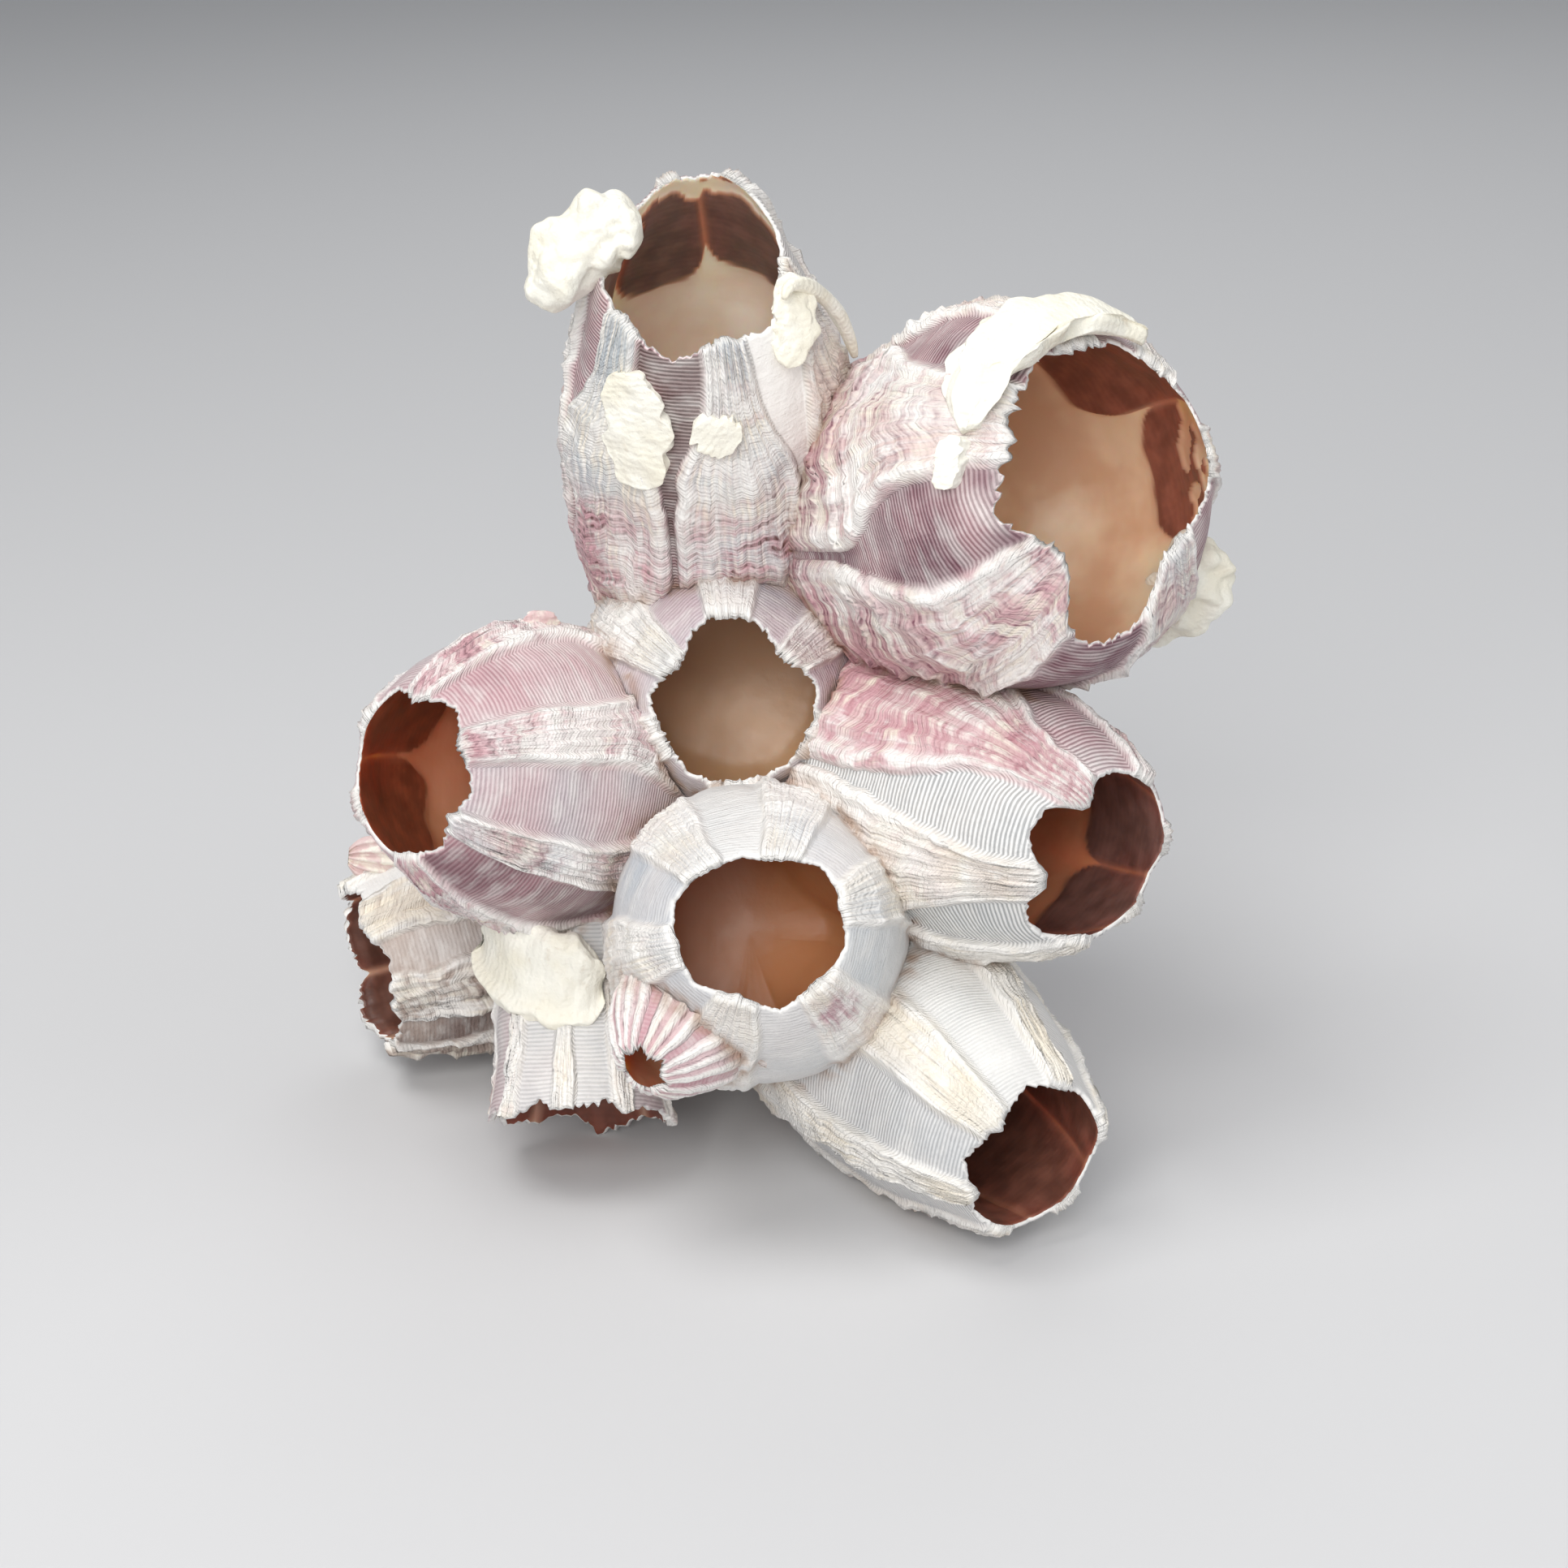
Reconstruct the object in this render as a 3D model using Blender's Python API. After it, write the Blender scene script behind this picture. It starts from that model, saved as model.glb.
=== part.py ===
"""A cluster of large acorn barnacles, grown on each other from one layer of old base plates.

Each barnacle is one shell of six fused wall plates: a cup with a thick floor and a thin, toothed rim.
An older shell keeps its whole shape, and a younger one stops against it with a thin wall of its own.
Lengths are in millimetres until a point is placed, when MM turns them into metres. +X is to the
right, +Y runs away from the side that shows the mouths, and +Z is up.
"""

import math

import bmesh
import bpy
import numpy as np
from mathutils import Matrix, Vector, noise

MM = 0.001
GAP = 0.4  # clearance between two shells that touch
CONTACT_WALL = 1.4  # wall that a younger shell keeps where it lies against an older one
FLOOR_DEPTH = 30.0  # block below the resting plane that trims the feet
BACK_PLANE = 38.0  # flat face where the cluster came off what it grew on

BASE_COLUMNS = 12
BASE_PROFILE = ((0.0, 0.85), (0.2, 1.0), (0.6, 1.0), (0.85, 0.9), (1.0, 0.65))
BASE_LUMPS = 2.0
CRUST_COLUMNS = 8
CRUST_RINGS = 6

# Moves the cluster so that the origin is the middle of its base
CLUSTER_SHIFT = (2.6, 2.7, 0.0)

PLATES = 6
# Columns of points in one plate's share of the wall: its edge groove, then the raised plate
PLATE_COLUMNS = (0.0, 0.2, 0.5, 0.8)
RAISED = ((0.0, 0.2, 0.5, 0.8, 1.0), (0.0, 0.6, 1.0, 0.6, 0.0))
OUTER_ROWS = (0.0, 0.18, 0.4, 0.62, 0.84, 1.0)
CAVITY_ROWS = (0.0, 0.4, 0.75, 1.0, 1.25)

# The layer at the back: round base plates of dead barnacles, grown together. Each one is a thick
# disc given by the middle of its back, its radius and the side that it faces
BASE_PLATES = (
    dict(back=(-3, 42, 46), radius=19, face=(0, -20, 2), seed=20),
    dict(back=(-4, 41, 16), radius=17.5, face=(2, -18, 1), seed=21),
    dict(back=(7, 41, 69), radius=13, face=(1, -19, 1), seed=22),
    dict(back=(-21, 40, 18), radius=12, face=(-3, -17, 0), seed=23),
)

# One entry for each barnacle, oldest first. base and mouth are the ends of its axis; base_r, belly_r
# and mouth_r are outer radii, and belly_at is how far up the widest ring lies. shares are the plates'
# shares of the wall and turn is where the first one starts, counted from the side that top names.
# tilt lowers the rim on the side it points to. teeth are the plates' tips above the rim. notches are
# broken bits of rim (plate edge, half width, depth), and pinches press the wall inwards near the rim
# (angle, half width, depth).
BARNACLES = {
    "barnacle_middle": dict(
        base=(-6, 24, 48), mouth=(-5.4, -10, 57.2), base_r=17, belly_r=18, belly_at=0.4, mouth_r=10.4,
        shares=(59, 54, 61, 66, 64, 56), turn=-29, seed=1, teeth=(0.4, 1.5, 1, 1, 1, 1.5),
        pinches=((50, 30, 1.8), (-45, 30, 1.8)),
    ),
    "barnacle_upper_right": dict(
        base=(13, 15, 71), mouth=(36.4, -15, 84), base_r=17, belly_r=22, belly_at=0.7, mouth_r=15.3,
        shares=(72, 74, 62, 52, 50, 50), turn=20, seed=2, teeth=(1, 6, 0.5, 1, 1, 1.5),
        notches=((1.0, 0.35, 3.5),), pinches=((125, 30, 3.5),), floor_at=0.3, bend=(0, 0, -2),
    ),
    "barnacle_top": dict(
        base=(-6.9, 17, 64), mouth=(-7.6, 0, 105.8), base_r=15.5, belly_r=16.5, belly_at=0.42, mouth_r=10.3,
        shares=(60, 58, 60, 60, 62, 60), turn=-76, seed=3, top=(0, -1, 0), tilt=(0, -6, 0),
        teeth=(2, 3, 1, 2.5, 1, 1), notches=((1.0, 0.4, 1.5),),
    ),
    "barnacle_left": dict(
        base=(-11, 16, 36), mouth=(-41.3, -15, 51.9), base_r=13, belly_r=17.8, belly_at=0.58, mouth_r=10.6,
        shares=(62, 62, 66, 64, 45, 61), turn=-29, seed=4, teeth=(1, 1, 1, 1, 1.5, 1.5),
    ),
    "barnacle_right": dict(
        base=(1, 11, 42), mouth=(34.4, -27, 44.3), base_r=13, belly_r=16.4, belly_at=0.57, mouth_r=10.3,
        shares=(79, 60, 63, 50, 55, 53), turn=-17, seed=5, teeth=(4, 3, 1, 1, 2, 1), pinches=((25, 24, 2.5),),
    ),
    "barnacle_lower_right": dict(
        base=(-2, 13, 18), mouth=(25.2, -38, 13.2), base_r=13, belly_r=15.8, belly_at=0.5, mouth_r=9.4,
        shares=(52, 76, 50, 57, 60, 65), turn=-50, seed=6, teeth=(1, 2, 2, 1, 1, 1.5), bend=(0, 0, -0.2),
    ),
    "barnacle_lower_left": dict(
        base=(-25.3, 3, 34), mouth=(-25.6, -14.5, 7.5), base_r=8.3, belly_r=8.5, belly_at=0.3, mouth_r=11.2,
        shares=(37, 36, 37, 85, 85, 80), turn=-50, seed=7, top=(0, -1, 0), raised_at_rim=0.45,
        teeth=(2, 2, 2, 3, 3, 3),
    ),
    "barnacle_far_left": dict(
        base=(-26, 22, 17), mouth=(-51.5, 12, 15), base_r=12, belly_r=13, belly_at=0.5, mouth_r=11,
        shares=(60, 60, 60, 60, 60, 60), turn=0, seed=8, raised_at_rim=0.5, teeth=(2, 1, 2, 1.5, 1, 2),
    ),
    "barnacle_front": dict(
        base=(-3.8, 8, 19), mouth=(-3.2, -35, 40.1), base_r=14, belly_r=17.3, belly_at=0.62, mouth_r=10.6,
        shares=(59, 57, 65, 65, 56, 58), turn=11, seed=9, teeth=(1, 1, 1.5, 1.5, 1, 0.5),
    ),
    "barnacle_small": dict(
        base=(-9.3, -25, 28), mouth=(-16.1, -37, 25.4), base_r=8.8, belly_r=8.6, belly_at=0.3, mouth_r=3.8,
        shares=(60, 60, 60, 60, 60, 60), turn=0, seed=10, rim_wall=0.8, base_wall=2.5, step=1.0, lumps=0.2,
    ),
}
DEFAULTS = dict(
    bend=(0, 0, 0), top=(0, 0, 1), rim_wall=1.2, base_wall=3.5, floor_at=0.26, step=1.1, raised_at_rim=0.36,
    tilt=(0, 0, 0), teeth=(1, 1, 1, 1, 1, 1), notches=(), pinches=(), lumps=0.8,
)

# Growths of lime on the shells, each a lump along a path of three points. width is half its spread
# across the path, and thickness half its depth towards out
CRUSTS = {
    "crust_on_top_shell": dict(
        path=((-13, 0, 110), (-19.5, -0.5, 107.5), (-24.5, -1, 102)), width=4.5, thickness=5,
        out=(-0.3, -1, 0.3), lumps=1.2, seed=31,
    ),
    "flake_on_top_shell": dict(
        path=((2.5, -3.5, 104.5), (4, -4.5, 99), (2, -6.5, 94)), width=3.4, thickness=1.7,
        out=(0.4, -0.8, 0.3), lumps=0.4, seed=37,
    ),
    "crust_on_rim": dict(
        path=((22.6, -18, 92), (29, -11, 98.8), (41, -4.5, 97.5)), width=5, thickness=2.4,
        out=(0.1, -0.4, 0.9), lumps=0.8, seed=32,
    ),
    "crust_behind_rim": dict(
        path=((44, -4, 71), (46.5, -1, 65), (40, 1, 58)), width=5, thickness=4.5,
        out=(0.6, 0.5, -0.4), lumps=1.6, seed=33,
    ),
    "crust_on_plate": dict(
        path=((-15.6, -7.2, 95), (-15, -7.4, 88.5), (-14.8, -5.8, 81.5)), width=4.5, thickness=2.3,
        out=(-0.4, -1, 0.1), lumps=0.3, seed=34,
    ),
    "crust_under_left_shell": dict(
        path=((-32.5, -9.5, 25), (-27.5, -14.5, 24.5), (-21.5, -14, 24)), width=6, thickness=3,
        out=(0, -1, 0), lumps=0.7, seed=35,
    ),
    "plate_fragment": dict(
        path=((-40, 17, 25), (-47, 16.5, 27), (-54.5, 15.5, 28.5)), width=3.4, thickness=1.6,
        out=(0, -1, 0.2), lumps=0.4, seed=36,
    ),
}


def across_axis(tangent, side):
    """Unit direction square to the axis that lies nearest to side, and the one square to both."""
    side = np.asarray(side, float)
    up = side - tangent * (tangent @ side)[..., None]
    up = up / np.linalg.norm(up, axis=-1, keepdims=True)
    return up, np.cross(tangent, up)


def shell_axis(b, s):
    """Centre of the shell at each height s, the axis there, and two directions across it."""
    base = np.array(b["base"], float)
    mouth = np.array(b["mouth"], float)
    bend = np.array(b["bend"], float)
    s = np.asarray(s, float)[..., None]
    centre = base + (mouth - base) * s + bend * (4 * s * (1 - s))
    tangent = (mouth - base) + bend * (4 - 8 * s)
    tangent = tangent / np.linalg.norm(tangent, axis=-1, keepdims=True)
    up, across = across_axis(tangent, b["top"])
    return centre, tangent, up, across


def shell_radius(b, s):
    """Radius of the plain turned form: wide in the belly, drawn in at the base and at the mouth."""
    below = np.clip((b["belly_at"] - s) / b["belly_at"], 0, 1.3)
    above = np.clip((s - b["belly_at"]) / (1 - b["belly_at"]), 0, 1.3)
    return b["belly_r"] - (b["belly_r"] - b["base_r"]) * below**2 - (b["belly_r"] - b["mouth_r"]) * above**2


def plate_coordinate(b, column, v):
    """Plate number plus the share of the way across it. The raised plate narrows towards the rim."""
    plate, across = np.divmod(column, 1.0)
    half = 0.5 * (0.94 + (b["raised_at_rim"] - 0.94) * np.clip(v, 0, 1) ** 1.3)
    share = 0.5 + (across - 0.5) / 0.3 * half
    share = np.where(across < 0.2, across / 0.2 * (0.5 - half), share)
    share = np.where(across > 0.8, 1 - (1 - across) / 0.2 * (0.5 - half), share)
    return plate + share


def plate_angle(b, coordinate):
    """Direction round the axis of a plate coordinate, from the plates' shares of the wall."""
    edges = np.concatenate([[0], np.cumsum(b["shares"])]) / sum(b["shares"])
    turns = np.interp(coordinate % PLATES, range(PLATES + 1), edges)
    return 2 * math.pi * turns + math.radians(b["turn"])


def raised(column):
    return np.interp(column % 1.0, *RAISED)


def rim_height(b, column, coordinate, outward):
    """Height gained or lost at the rim: its tilt, a tooth on each plate and the broken notches."""
    teeth = np.array(b["teeth"], float)[(column % PLATES).astype(int)]
    height = teeth * raised(column) - outward @ np.array(b["tilt"], float)
    for plate, half_width, depth in b["notches"]:
        away = np.abs((coordinate - plate + PLATES / 2) % PLATES - PLATES / 2) / half_width
        height = height - depth * np.clip(1 - away**3, 0, 1)
    return height


def pressed_in(b, angle, s):
    """How far the pinches push the wall towards the axis."""
    depth = np.zeros_like(angle)
    for at, half_width, amount in b["pinches"]:
        away = np.abs((np.degrees(angle) - at + 180) % 360 - 180) / half_width
        depth = depth + amount * np.clip(1 - away**2, 0, 1) * np.clip((s - 0.5) / 0.5, 0, 1) ** 2
    return depth


def soft_noise(points, size, seed):
    """Smooth lumps from -1 to 1, the same on every run."""
    shift = Vector((seed * 7.3, seed * 3.1, seed * 5.7))
    return np.array([noise.noise(Vector(p) / size + shift) for p in points])


def shell_points(b, column, v, inner, grow):
    """Points of the wall at the height v of each column. inner takes off the wall's thickness."""
    coordinate = plate_coordinate(b, column, v)
    angle = plate_angle(b, coordinate)
    length = np.linalg.norm(np.subtract(b["mouth"], b["base"]))
    _, _, up, across = shell_axis(b, np.ones_like(v))
    outward = up * np.cos(angle)[:, None] + across * np.sin(angle)[:, None]
    s = v * (1 + rim_height(b, column, coordinate, outward) / length)
    centre, _, up, across = shell_axis(b, s)
    outward = up * np.cos(angle)[:, None] + across * np.sin(angle)[:, None]
    step = b["step"] * np.interp(v, (0, 0.15, 0.6, 1), (0.2, 0.6, 1, 0.8))
    radius = shell_radius(b, s) + step * (raised(column) - 0.5) - pressed_in(b, angle, s)
    points = centre + outward * radius[:, None]
    change = b["lumps"] * soft_noise(points, 11.0, b["seed"]) + grow
    if inner:
        change = change - b["rim_wall"] - (b["base_wall"] - b["rim_wall"]) * np.clip(1 - s, 0, 1) ** 1.2
    return points + outward * change[:, None]


def blank(rows, columns):
    """A closed drum with a ring of points at each whole height, turned from its half profile."""
    bm = bmesh.new()
    profile = [bm.verts.new((0, 0, 0))]
    profile += [bm.verts.new((1, 0, row)) for row in range(rows)]
    profile.append(bm.verts.new((0, 0, rows - 1)))
    edges = [bm.edges.new(pair) for pair in zip(profile, profile[1:])]
    bmesh.ops.spin(
        bm, geom=profile + edges, cent=(0, 0, 0), axis=(0, 0, 1), angle=2 * math.pi, steps=columns, use_merge=True
    )
    bmesh.ops.remove_doubles(bm, verts=bm.verts, dist=1e-5)
    return bm


def shaped_drum(name, columns, rings, poles):
    """Moves a blank's rings and its two poles to the points given, and makes it a mesh in metres."""
    bm = blank(len(rings), columns)
    for vert in bm.verts:
        row = round(vert.co.z)
        if vert.co.xy.length < 0.5:
            vert.co = poles[0] if row == 0 else poles[1]
            continue
        turn = math.atan2(vert.co.y, vert.co.x) / (2 * math.pi) % 1.0
        vert.co = rings[row][round(turn * columns) % columns]
    bmesh.ops.triangulate(bm, faces=bm.faces)
    if bm.calc_volume(signed=True) < 0:
        bmesh.ops.reverse_faces(bm, faces=bm.faces)
    bm.transform(Matrix.Scale(MM, 4) @ Matrix.Translation(CLUSTER_SHIFT))
    mesh = bpy.data.meshes.new(name)
    bm.to_mesh(mesh)
    bm.free()
    return mesh


def wall_columns():
    return np.array([plate + column for plate in range(PLATES) for column in PLATE_COLUMNS])


def outside_mesh(b, name, grow=0.0):
    """The whole outside of a shell, closed over its mouth. grow adds clearance all round."""
    column = wall_columns()
    rings = [shell_points(b, column, np.full(len(column), v), False, grow) for v in OUTER_ROWS]
    base_centre, base_axis, _, _ = shell_axis(b, 0.0)
    _, mouth_axis, _, _ = shell_axis(b, 1.0)
    rings[0] = rings[0] - base_axis * grow
    rings[-1] = rings[-1] + mouth_axis * grow
    poles = (base_centre - base_axis * grow, rings[-1].mean(axis=0))
    return shaped_drum(name, len(column), rings, poles)


def cavity_mesh(b, name):
    """The hollow of a shell, from its rounded floor out past the rim."""
    column = wall_columns()
    lift = 1 - b["floor_at"]
    heights = [b["floor_at"] + lift * v for v in CAVITY_ROWS]
    rings = [shell_points(b, column, np.full(len(column), v), True, 0.0) for v in heights]
    floor_centre, axis, _, _ = shell_axis(b, b["floor_at"])
    rings[0] = floor_centre + (rings[0] - floor_centre) * 0.72
    poles = (floor_centre - axis * 1.5, rings[-1].mean(axis=0))
    return shaped_drum(name, len(column), rings, poles)


def crust_mesh(c, name, grow=0.0):
    """A lump of lime along a path of three points, wide across and flattened in its out direction."""
    angle = np.arange(CRUST_COLUMNS) * 2 * math.pi / CRUST_COLUMNS
    start, middle, end = (np.array(p, float) for p in c["path"])
    bow = 2 * middle - (start + end) / 2
    rings = []
    for s in np.linspace(0.04, 0.96, CRUST_RINGS):
        centre = start * (1 - s) ** 2 + bow * 2 * s * (1 - s) + end * s**2
        tangent = (bow - start) * (1 - s) + (end - bow) * s
        out, across = across_axis(tangent / np.linalg.norm(tangent), c["out"])
        bulge = (1 - abs(2 * s - 1) ** 3) ** 0.5
        ring = centre + across * (np.cos(angle) * (c["width"] * bulge + grow))[:, None]
        ring = ring + out * (np.sin(angle) * (c["thickness"] * bulge + grow))[:, None]
        away = (ring - centre) / np.linalg.norm(ring - centre, axis=1, keepdims=True)
        rings.append(ring + away * (c["lumps"] * bulge * soft_noise(ring, 5.0, c["seed"]))[:, None])
    return shaped_drum(name, CRUST_COLUMNS, rings, (start, end))


def base_plate_mesh(disc, name, grow=0.0):
    """One thick disc of the base layer, with rounded edges."""
    angle = np.arange(BASE_COLUMNS) * 2 * math.pi / BASE_COLUMNS
    back = np.array(disc["back"], float)
    face = np.array(disc["face"], float)
    axis = face / np.linalg.norm(face)
    up, across = across_axis(axis, (0, 0, 1))
    outward = up * np.cos(angle)[:, None] + across * np.sin(angle)[:, None]
    rings = []
    for s, share in BASE_PROFILE:
        ring = back + face * s + outward * disc["radius"] * share
        swell = grow + BASE_LUMPS * soft_noise(ring, 9.0, disc["seed"])
        rings.append(ring + outward * swell[:, None] + axis * grow * np.sign(s - 0.5))
    return shaped_drum(name, BASE_COLUMNS, rings, (back - axis * grow, back + face * 1.04 + axis * grow))


def largest_body(mesh):
    """Deletes the crumbs that a cut leaves beside the main body."""
    bm = bmesh.new()
    bm.from_mesh(mesh)
    unseen = set(bm.verts)
    bodies = []
    while unseen:
        front = [unseen.pop()]
        body = set(front)
        while front:
            for edge in front.pop().link_edges:
                for vert in unseen.intersection(edge.verts):
                    unseen.discard(vert)
                    body.add(vert)
                    front.append(vert)
        bodies.append(body)
    bodies.sort(key=len)
    crumbs = [vert for body in bodies[:-1] for vert in body]
    bmesh.ops.delete(bm, geom=crumbs, context="VERTS")
    bm.to_mesh(mesh)
    bm.free()


def collection(name):
    made = bpy.data.collections.new(name)
    bpy.context.scene.collection.children.link(made)
    return made


def add_object(name, mesh, group):
    obj = bpy.data.objects.new(name, mesh)
    group.objects.link(obj)
    return obj


def add_cutter(name, mesh):
    cutter = add_object(name, mesh, cutters)
    cutter.hide_render = True
    cutter.display_type = "WIRE"
    return cutter


def add_block(name, low, high):
    """A box cutter between two corners, given in the cluster's millimetres."""
    bm = bmesh.new()
    size = np.subtract(high, low)
    middle = (np.add(high, low)) / 2
    bmesh.ops.create_cube(bm, size=1, matrix=Matrix.Translation(middle) @ Matrix.Diagonal((*size, 1)))
    bm.transform(Matrix.Scale(MM, 4) @ Matrix.Translation(CLUSTER_SHIFT))
    mesh = bpy.data.meshes.new(name)
    bm.to_mesh(mesh)
    bm.free()
    return add_cutter(name, mesh)


def boxes_meet(first, second):
    a = np.array([v.co for v in first.data.vertices])
    b = np.array([v.co for v in second.data.vertices])
    return bool(np.all(a.min(axis=0) < b.max(axis=0)) and np.all(b.min(axis=0) < a.max(axis=0)))


def combine(obj, tools, operation):
    """Cuts the tools that reach obj out of it or joins them to it, and keeps its main body."""
    for tool in tools:
        if boxes_meet(obj, tool):
            modifier = obj.modifiers.new(operation.lower() + " " + tool.name, "BOOLEAN")
            modifier.operation = operation
            modifier.solver = "EXACT"
            modifier.object = tool
    bpy.context.view_layer.update()
    graph = bpy.context.evaluated_depsgraph_get()
    mesh = bpy.data.meshes.new_from_object(obj.evaluated_get(graph))
    obj.modifiers.clear()
    obj.data = mesh
    largest_body(mesh)


def cut(obj, tools):
    combine(obj, tools, "DIFFERENCE")


def material(name, colour, roughness):
    made = bpy.data.materials.new(name)
    made.use_nodes = True
    shader = made.node_tree.nodes["Principled BSDF"]
    shader.inputs["Base Color"].default_value = (*colour, 1)
    shader.inputs["Roughness"].default_value = roughness
    shader.inputs["Metallic"].default_value = 0
    return made


for old in list(bpy.data.objects):
    bpy.data.objects.remove(old)

cluster = collection("barnacle_cluster")
cutters = collection("cutters")
shell_finish = material("barnacle_shell", (0.72, 0.58, 0.60), 0.55)
crust_finish = material("lime_crust", (0.85, 0.80, 0.68), 0.6)
base_finish = material("old_base_plates", (0.70, 0.64, 0.58), 0.7)

floor_block = add_block("below_resting_plane", (-90, -90, -FLOOR_DEPTH), (90, 90, 0))
back_block = add_block("behind_back_plane", (-90, BACK_PLANE, -FLOOR_DEPTH), (90, BACK_PLANE + 30, 130))

discs = [add_cutter("base_disc", base_plate_mesh(disc, "base_disc")) for disc in BASE_PLATES]
base_plates = add_object("base_plates", discs[0].data.copy(), cluster)
base_plates.data.materials.append(base_finish)
combine(base_plates, discs[1:], "UNION")
cut(base_plates, [floor_block, back_block])

# What each later piece stops against, and the same with the thickness of a contact wall added
outsides = []
contacts = []
for disc in BASE_PLATES:
    outsides.append(add_cutter("outside_of_disc", base_plate_mesh(disc, "outside_of_disc", GAP)))
    contacts.append(add_cutter("contact_of_disc", base_plate_mesh(disc, "contact_of_disc", GAP + CONTACT_WALL)))

for name, own in BARNACLES.items():
    b = {**DEFAULTS, **own}
    cavity = add_cutter("cavity_of_" + name, cavity_mesh(b, "cavity_of_" + name))
    cut(cavity, contacts)
    shell = add_object(name, outside_mesh(b, name), cluster)
    shell.data.materials.append(shell_finish)
    cut(shell, outsides + [cavity, floor_block])
    outsides.append(add_cutter("outside_of_" + name, outside_mesh(b, "outside_of_" + name, GAP)))
    contacts.append(add_cutter("contact_of_" + name, outside_mesh(b, "contact_of_" + name, GAP + CONTACT_WALL)))

for name, c in CRUSTS.items():
    crust = add_object(name, crust_mesh(c, name), cluster)
    crust.data.materials.append(crust_finish)
    cut(crust, outsides)
    outsides.append(add_cutter("outside_of_" + name, crust_mesh(c, "outside_of_" + name, GAP)))
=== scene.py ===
import math

import bmesh
import bpy
import numpy as np
from mathutils import Matrix, Vector


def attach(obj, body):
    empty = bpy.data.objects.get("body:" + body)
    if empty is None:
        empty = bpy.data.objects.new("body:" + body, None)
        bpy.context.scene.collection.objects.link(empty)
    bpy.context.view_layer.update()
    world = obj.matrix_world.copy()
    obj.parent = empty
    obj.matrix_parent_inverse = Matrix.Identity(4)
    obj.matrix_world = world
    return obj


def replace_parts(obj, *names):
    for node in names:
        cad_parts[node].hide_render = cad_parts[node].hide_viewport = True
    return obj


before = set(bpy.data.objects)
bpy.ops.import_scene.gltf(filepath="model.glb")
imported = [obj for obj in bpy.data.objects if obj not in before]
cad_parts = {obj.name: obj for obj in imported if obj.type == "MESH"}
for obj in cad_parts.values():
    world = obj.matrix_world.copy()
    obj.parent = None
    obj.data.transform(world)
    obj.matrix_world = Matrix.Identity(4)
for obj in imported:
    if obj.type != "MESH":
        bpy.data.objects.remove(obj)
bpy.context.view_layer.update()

# The table, lights and camera
# The cluster stands on a plain pale table under large soft lights. The camera stands a third of a metre
# in front of it and looks down on it.
MM = 0.001
CAMERA_AT = (0.0026, -0.3373, 0.184)
CAMERA_DOWN = math.radians(22.6)
CAMERA_ROLL = math.radians(-2.1)
CAMERA_LENS = 72
TABLE_SIZE = 8.0
TABLE_COLOUR = (0.64, 0.64, 0.65, 1)
SKY_COLOUR = (0.93, 0.96, 1.0, 1)
SKY_STRENGTH = 0.30
LIT_POINT = (0, 0, 0.06)

scene = bpy.context.scene
lens = bpy.data.cameras.new("camera")
lens.lens = CAMERA_LENS
lens.sensor_width = 36
lens.clip_start = 0.01
camera = bpy.data.objects.new("camera", lens)
camera.matrix_world = (
    Matrix.Translation(CAMERA_AT)
    @ Matrix.Rotation(math.radians(90) - CAMERA_DOWN, 4, "X")
    @ Matrix.Rotation(CAMERA_ROLL, 4, "Z")
)
scene.collection.objects.link(camera)
scene.camera = camera
scene.view_settings.view_transform = "Standard"

world = bpy.data.worlds.new("studio")
world.use_nodes = True
sky = world.node_tree.nodes["Background"]
sky.inputs["Color"].default_value = SKY_COLOUR
sky.inputs["Strength"].default_value = SKY_STRENGTH
scene.world = world


def soft_light(name, at, size, power, colour):
    """A square soft box that points at the middle of the cluster."""
    light = bpy.data.lights.new(name, "AREA")
    light.size = size
    light.energy = power
    light.color = colour
    lamp = bpy.data.objects.new(name, light)
    lamp.location = at
    lamp.rotation_euler = (Vector(LIT_POINT) - Vector(at)).to_track_quat("-Z", "Y").to_euler()
    scene.collection.objects.link(lamp)


soft_light("front_light", (-0.12, -0.62, 0.46), 0.42, 3.6, (1.0, 0.99, 0.97))
soft_light("top_light", (-0.22, -0.12, 0.72), 0.40, 2.5, (1.0, 0.99, 0.97))
soft_light("side_light", (0.60, -0.20, 0.45), 0.45, 0.9, (0.97, 0.98, 1.0))
soft_light("back_light", (0.10, 0.60, 0.60), 0.5, 1.0, (1.0, 1.0, 1.0))

bm = bmesh.new()
bmesh.ops.create_grid(bm, x_segments=2, y_segments=2, size=TABLE_SIZE / 2)
table_mesh = bpy.data.meshes.new("table")
bm.to_mesh(table_mesh)
bm.free()
table = bpy.data.objects.new("table", table_mesh)
scene.collection.objects.link(table)
table_finish = bpy.data.materials.new("table")
table_finish.use_nodes = True
table_shader = table_finish.node_tree.nodes["Principled BSDF"]
table_shader.inputs["Base Color"].default_value = TABLE_COLOUR
table_shader.inputs["Roughness"].default_value = 0.75
table_mesh.materials.append(table_finish)

# The barnacle in the middle
# It is the oldest shell of the cluster: six wall plates of lime, fused edge to edge into a cup. Each
# plate is a raised, ribbed triangle, and between two of them lies a sunken band with fine cross lines.
CLUSTER_SHIFT = np.array((2.6, 2.7, 0.0))  # the shells' own coordinates are millimetres before this shift
PLATES = 6
COLUMNS = 288
OUTSIDE_ROWS = 96
INSIDE_ROWS = 48
BASE_ROWS = (0.4, 0.75)
FLOOR_ROWS = (0.93, 0.86, 0.78, 0.68, 0.56, 0.42, 0.28, 0.14)
FLOOR_DEPTH = 1.6
FLOOR_SMOOTHING = 30
FLOOR_REACH = 6  # columns over which the floor's unevenness is shared out at a time
CONTACT_SMOOTHING = 40
CONTACT_REACH = 5
CONTACT_SLACK = 0.9
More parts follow.
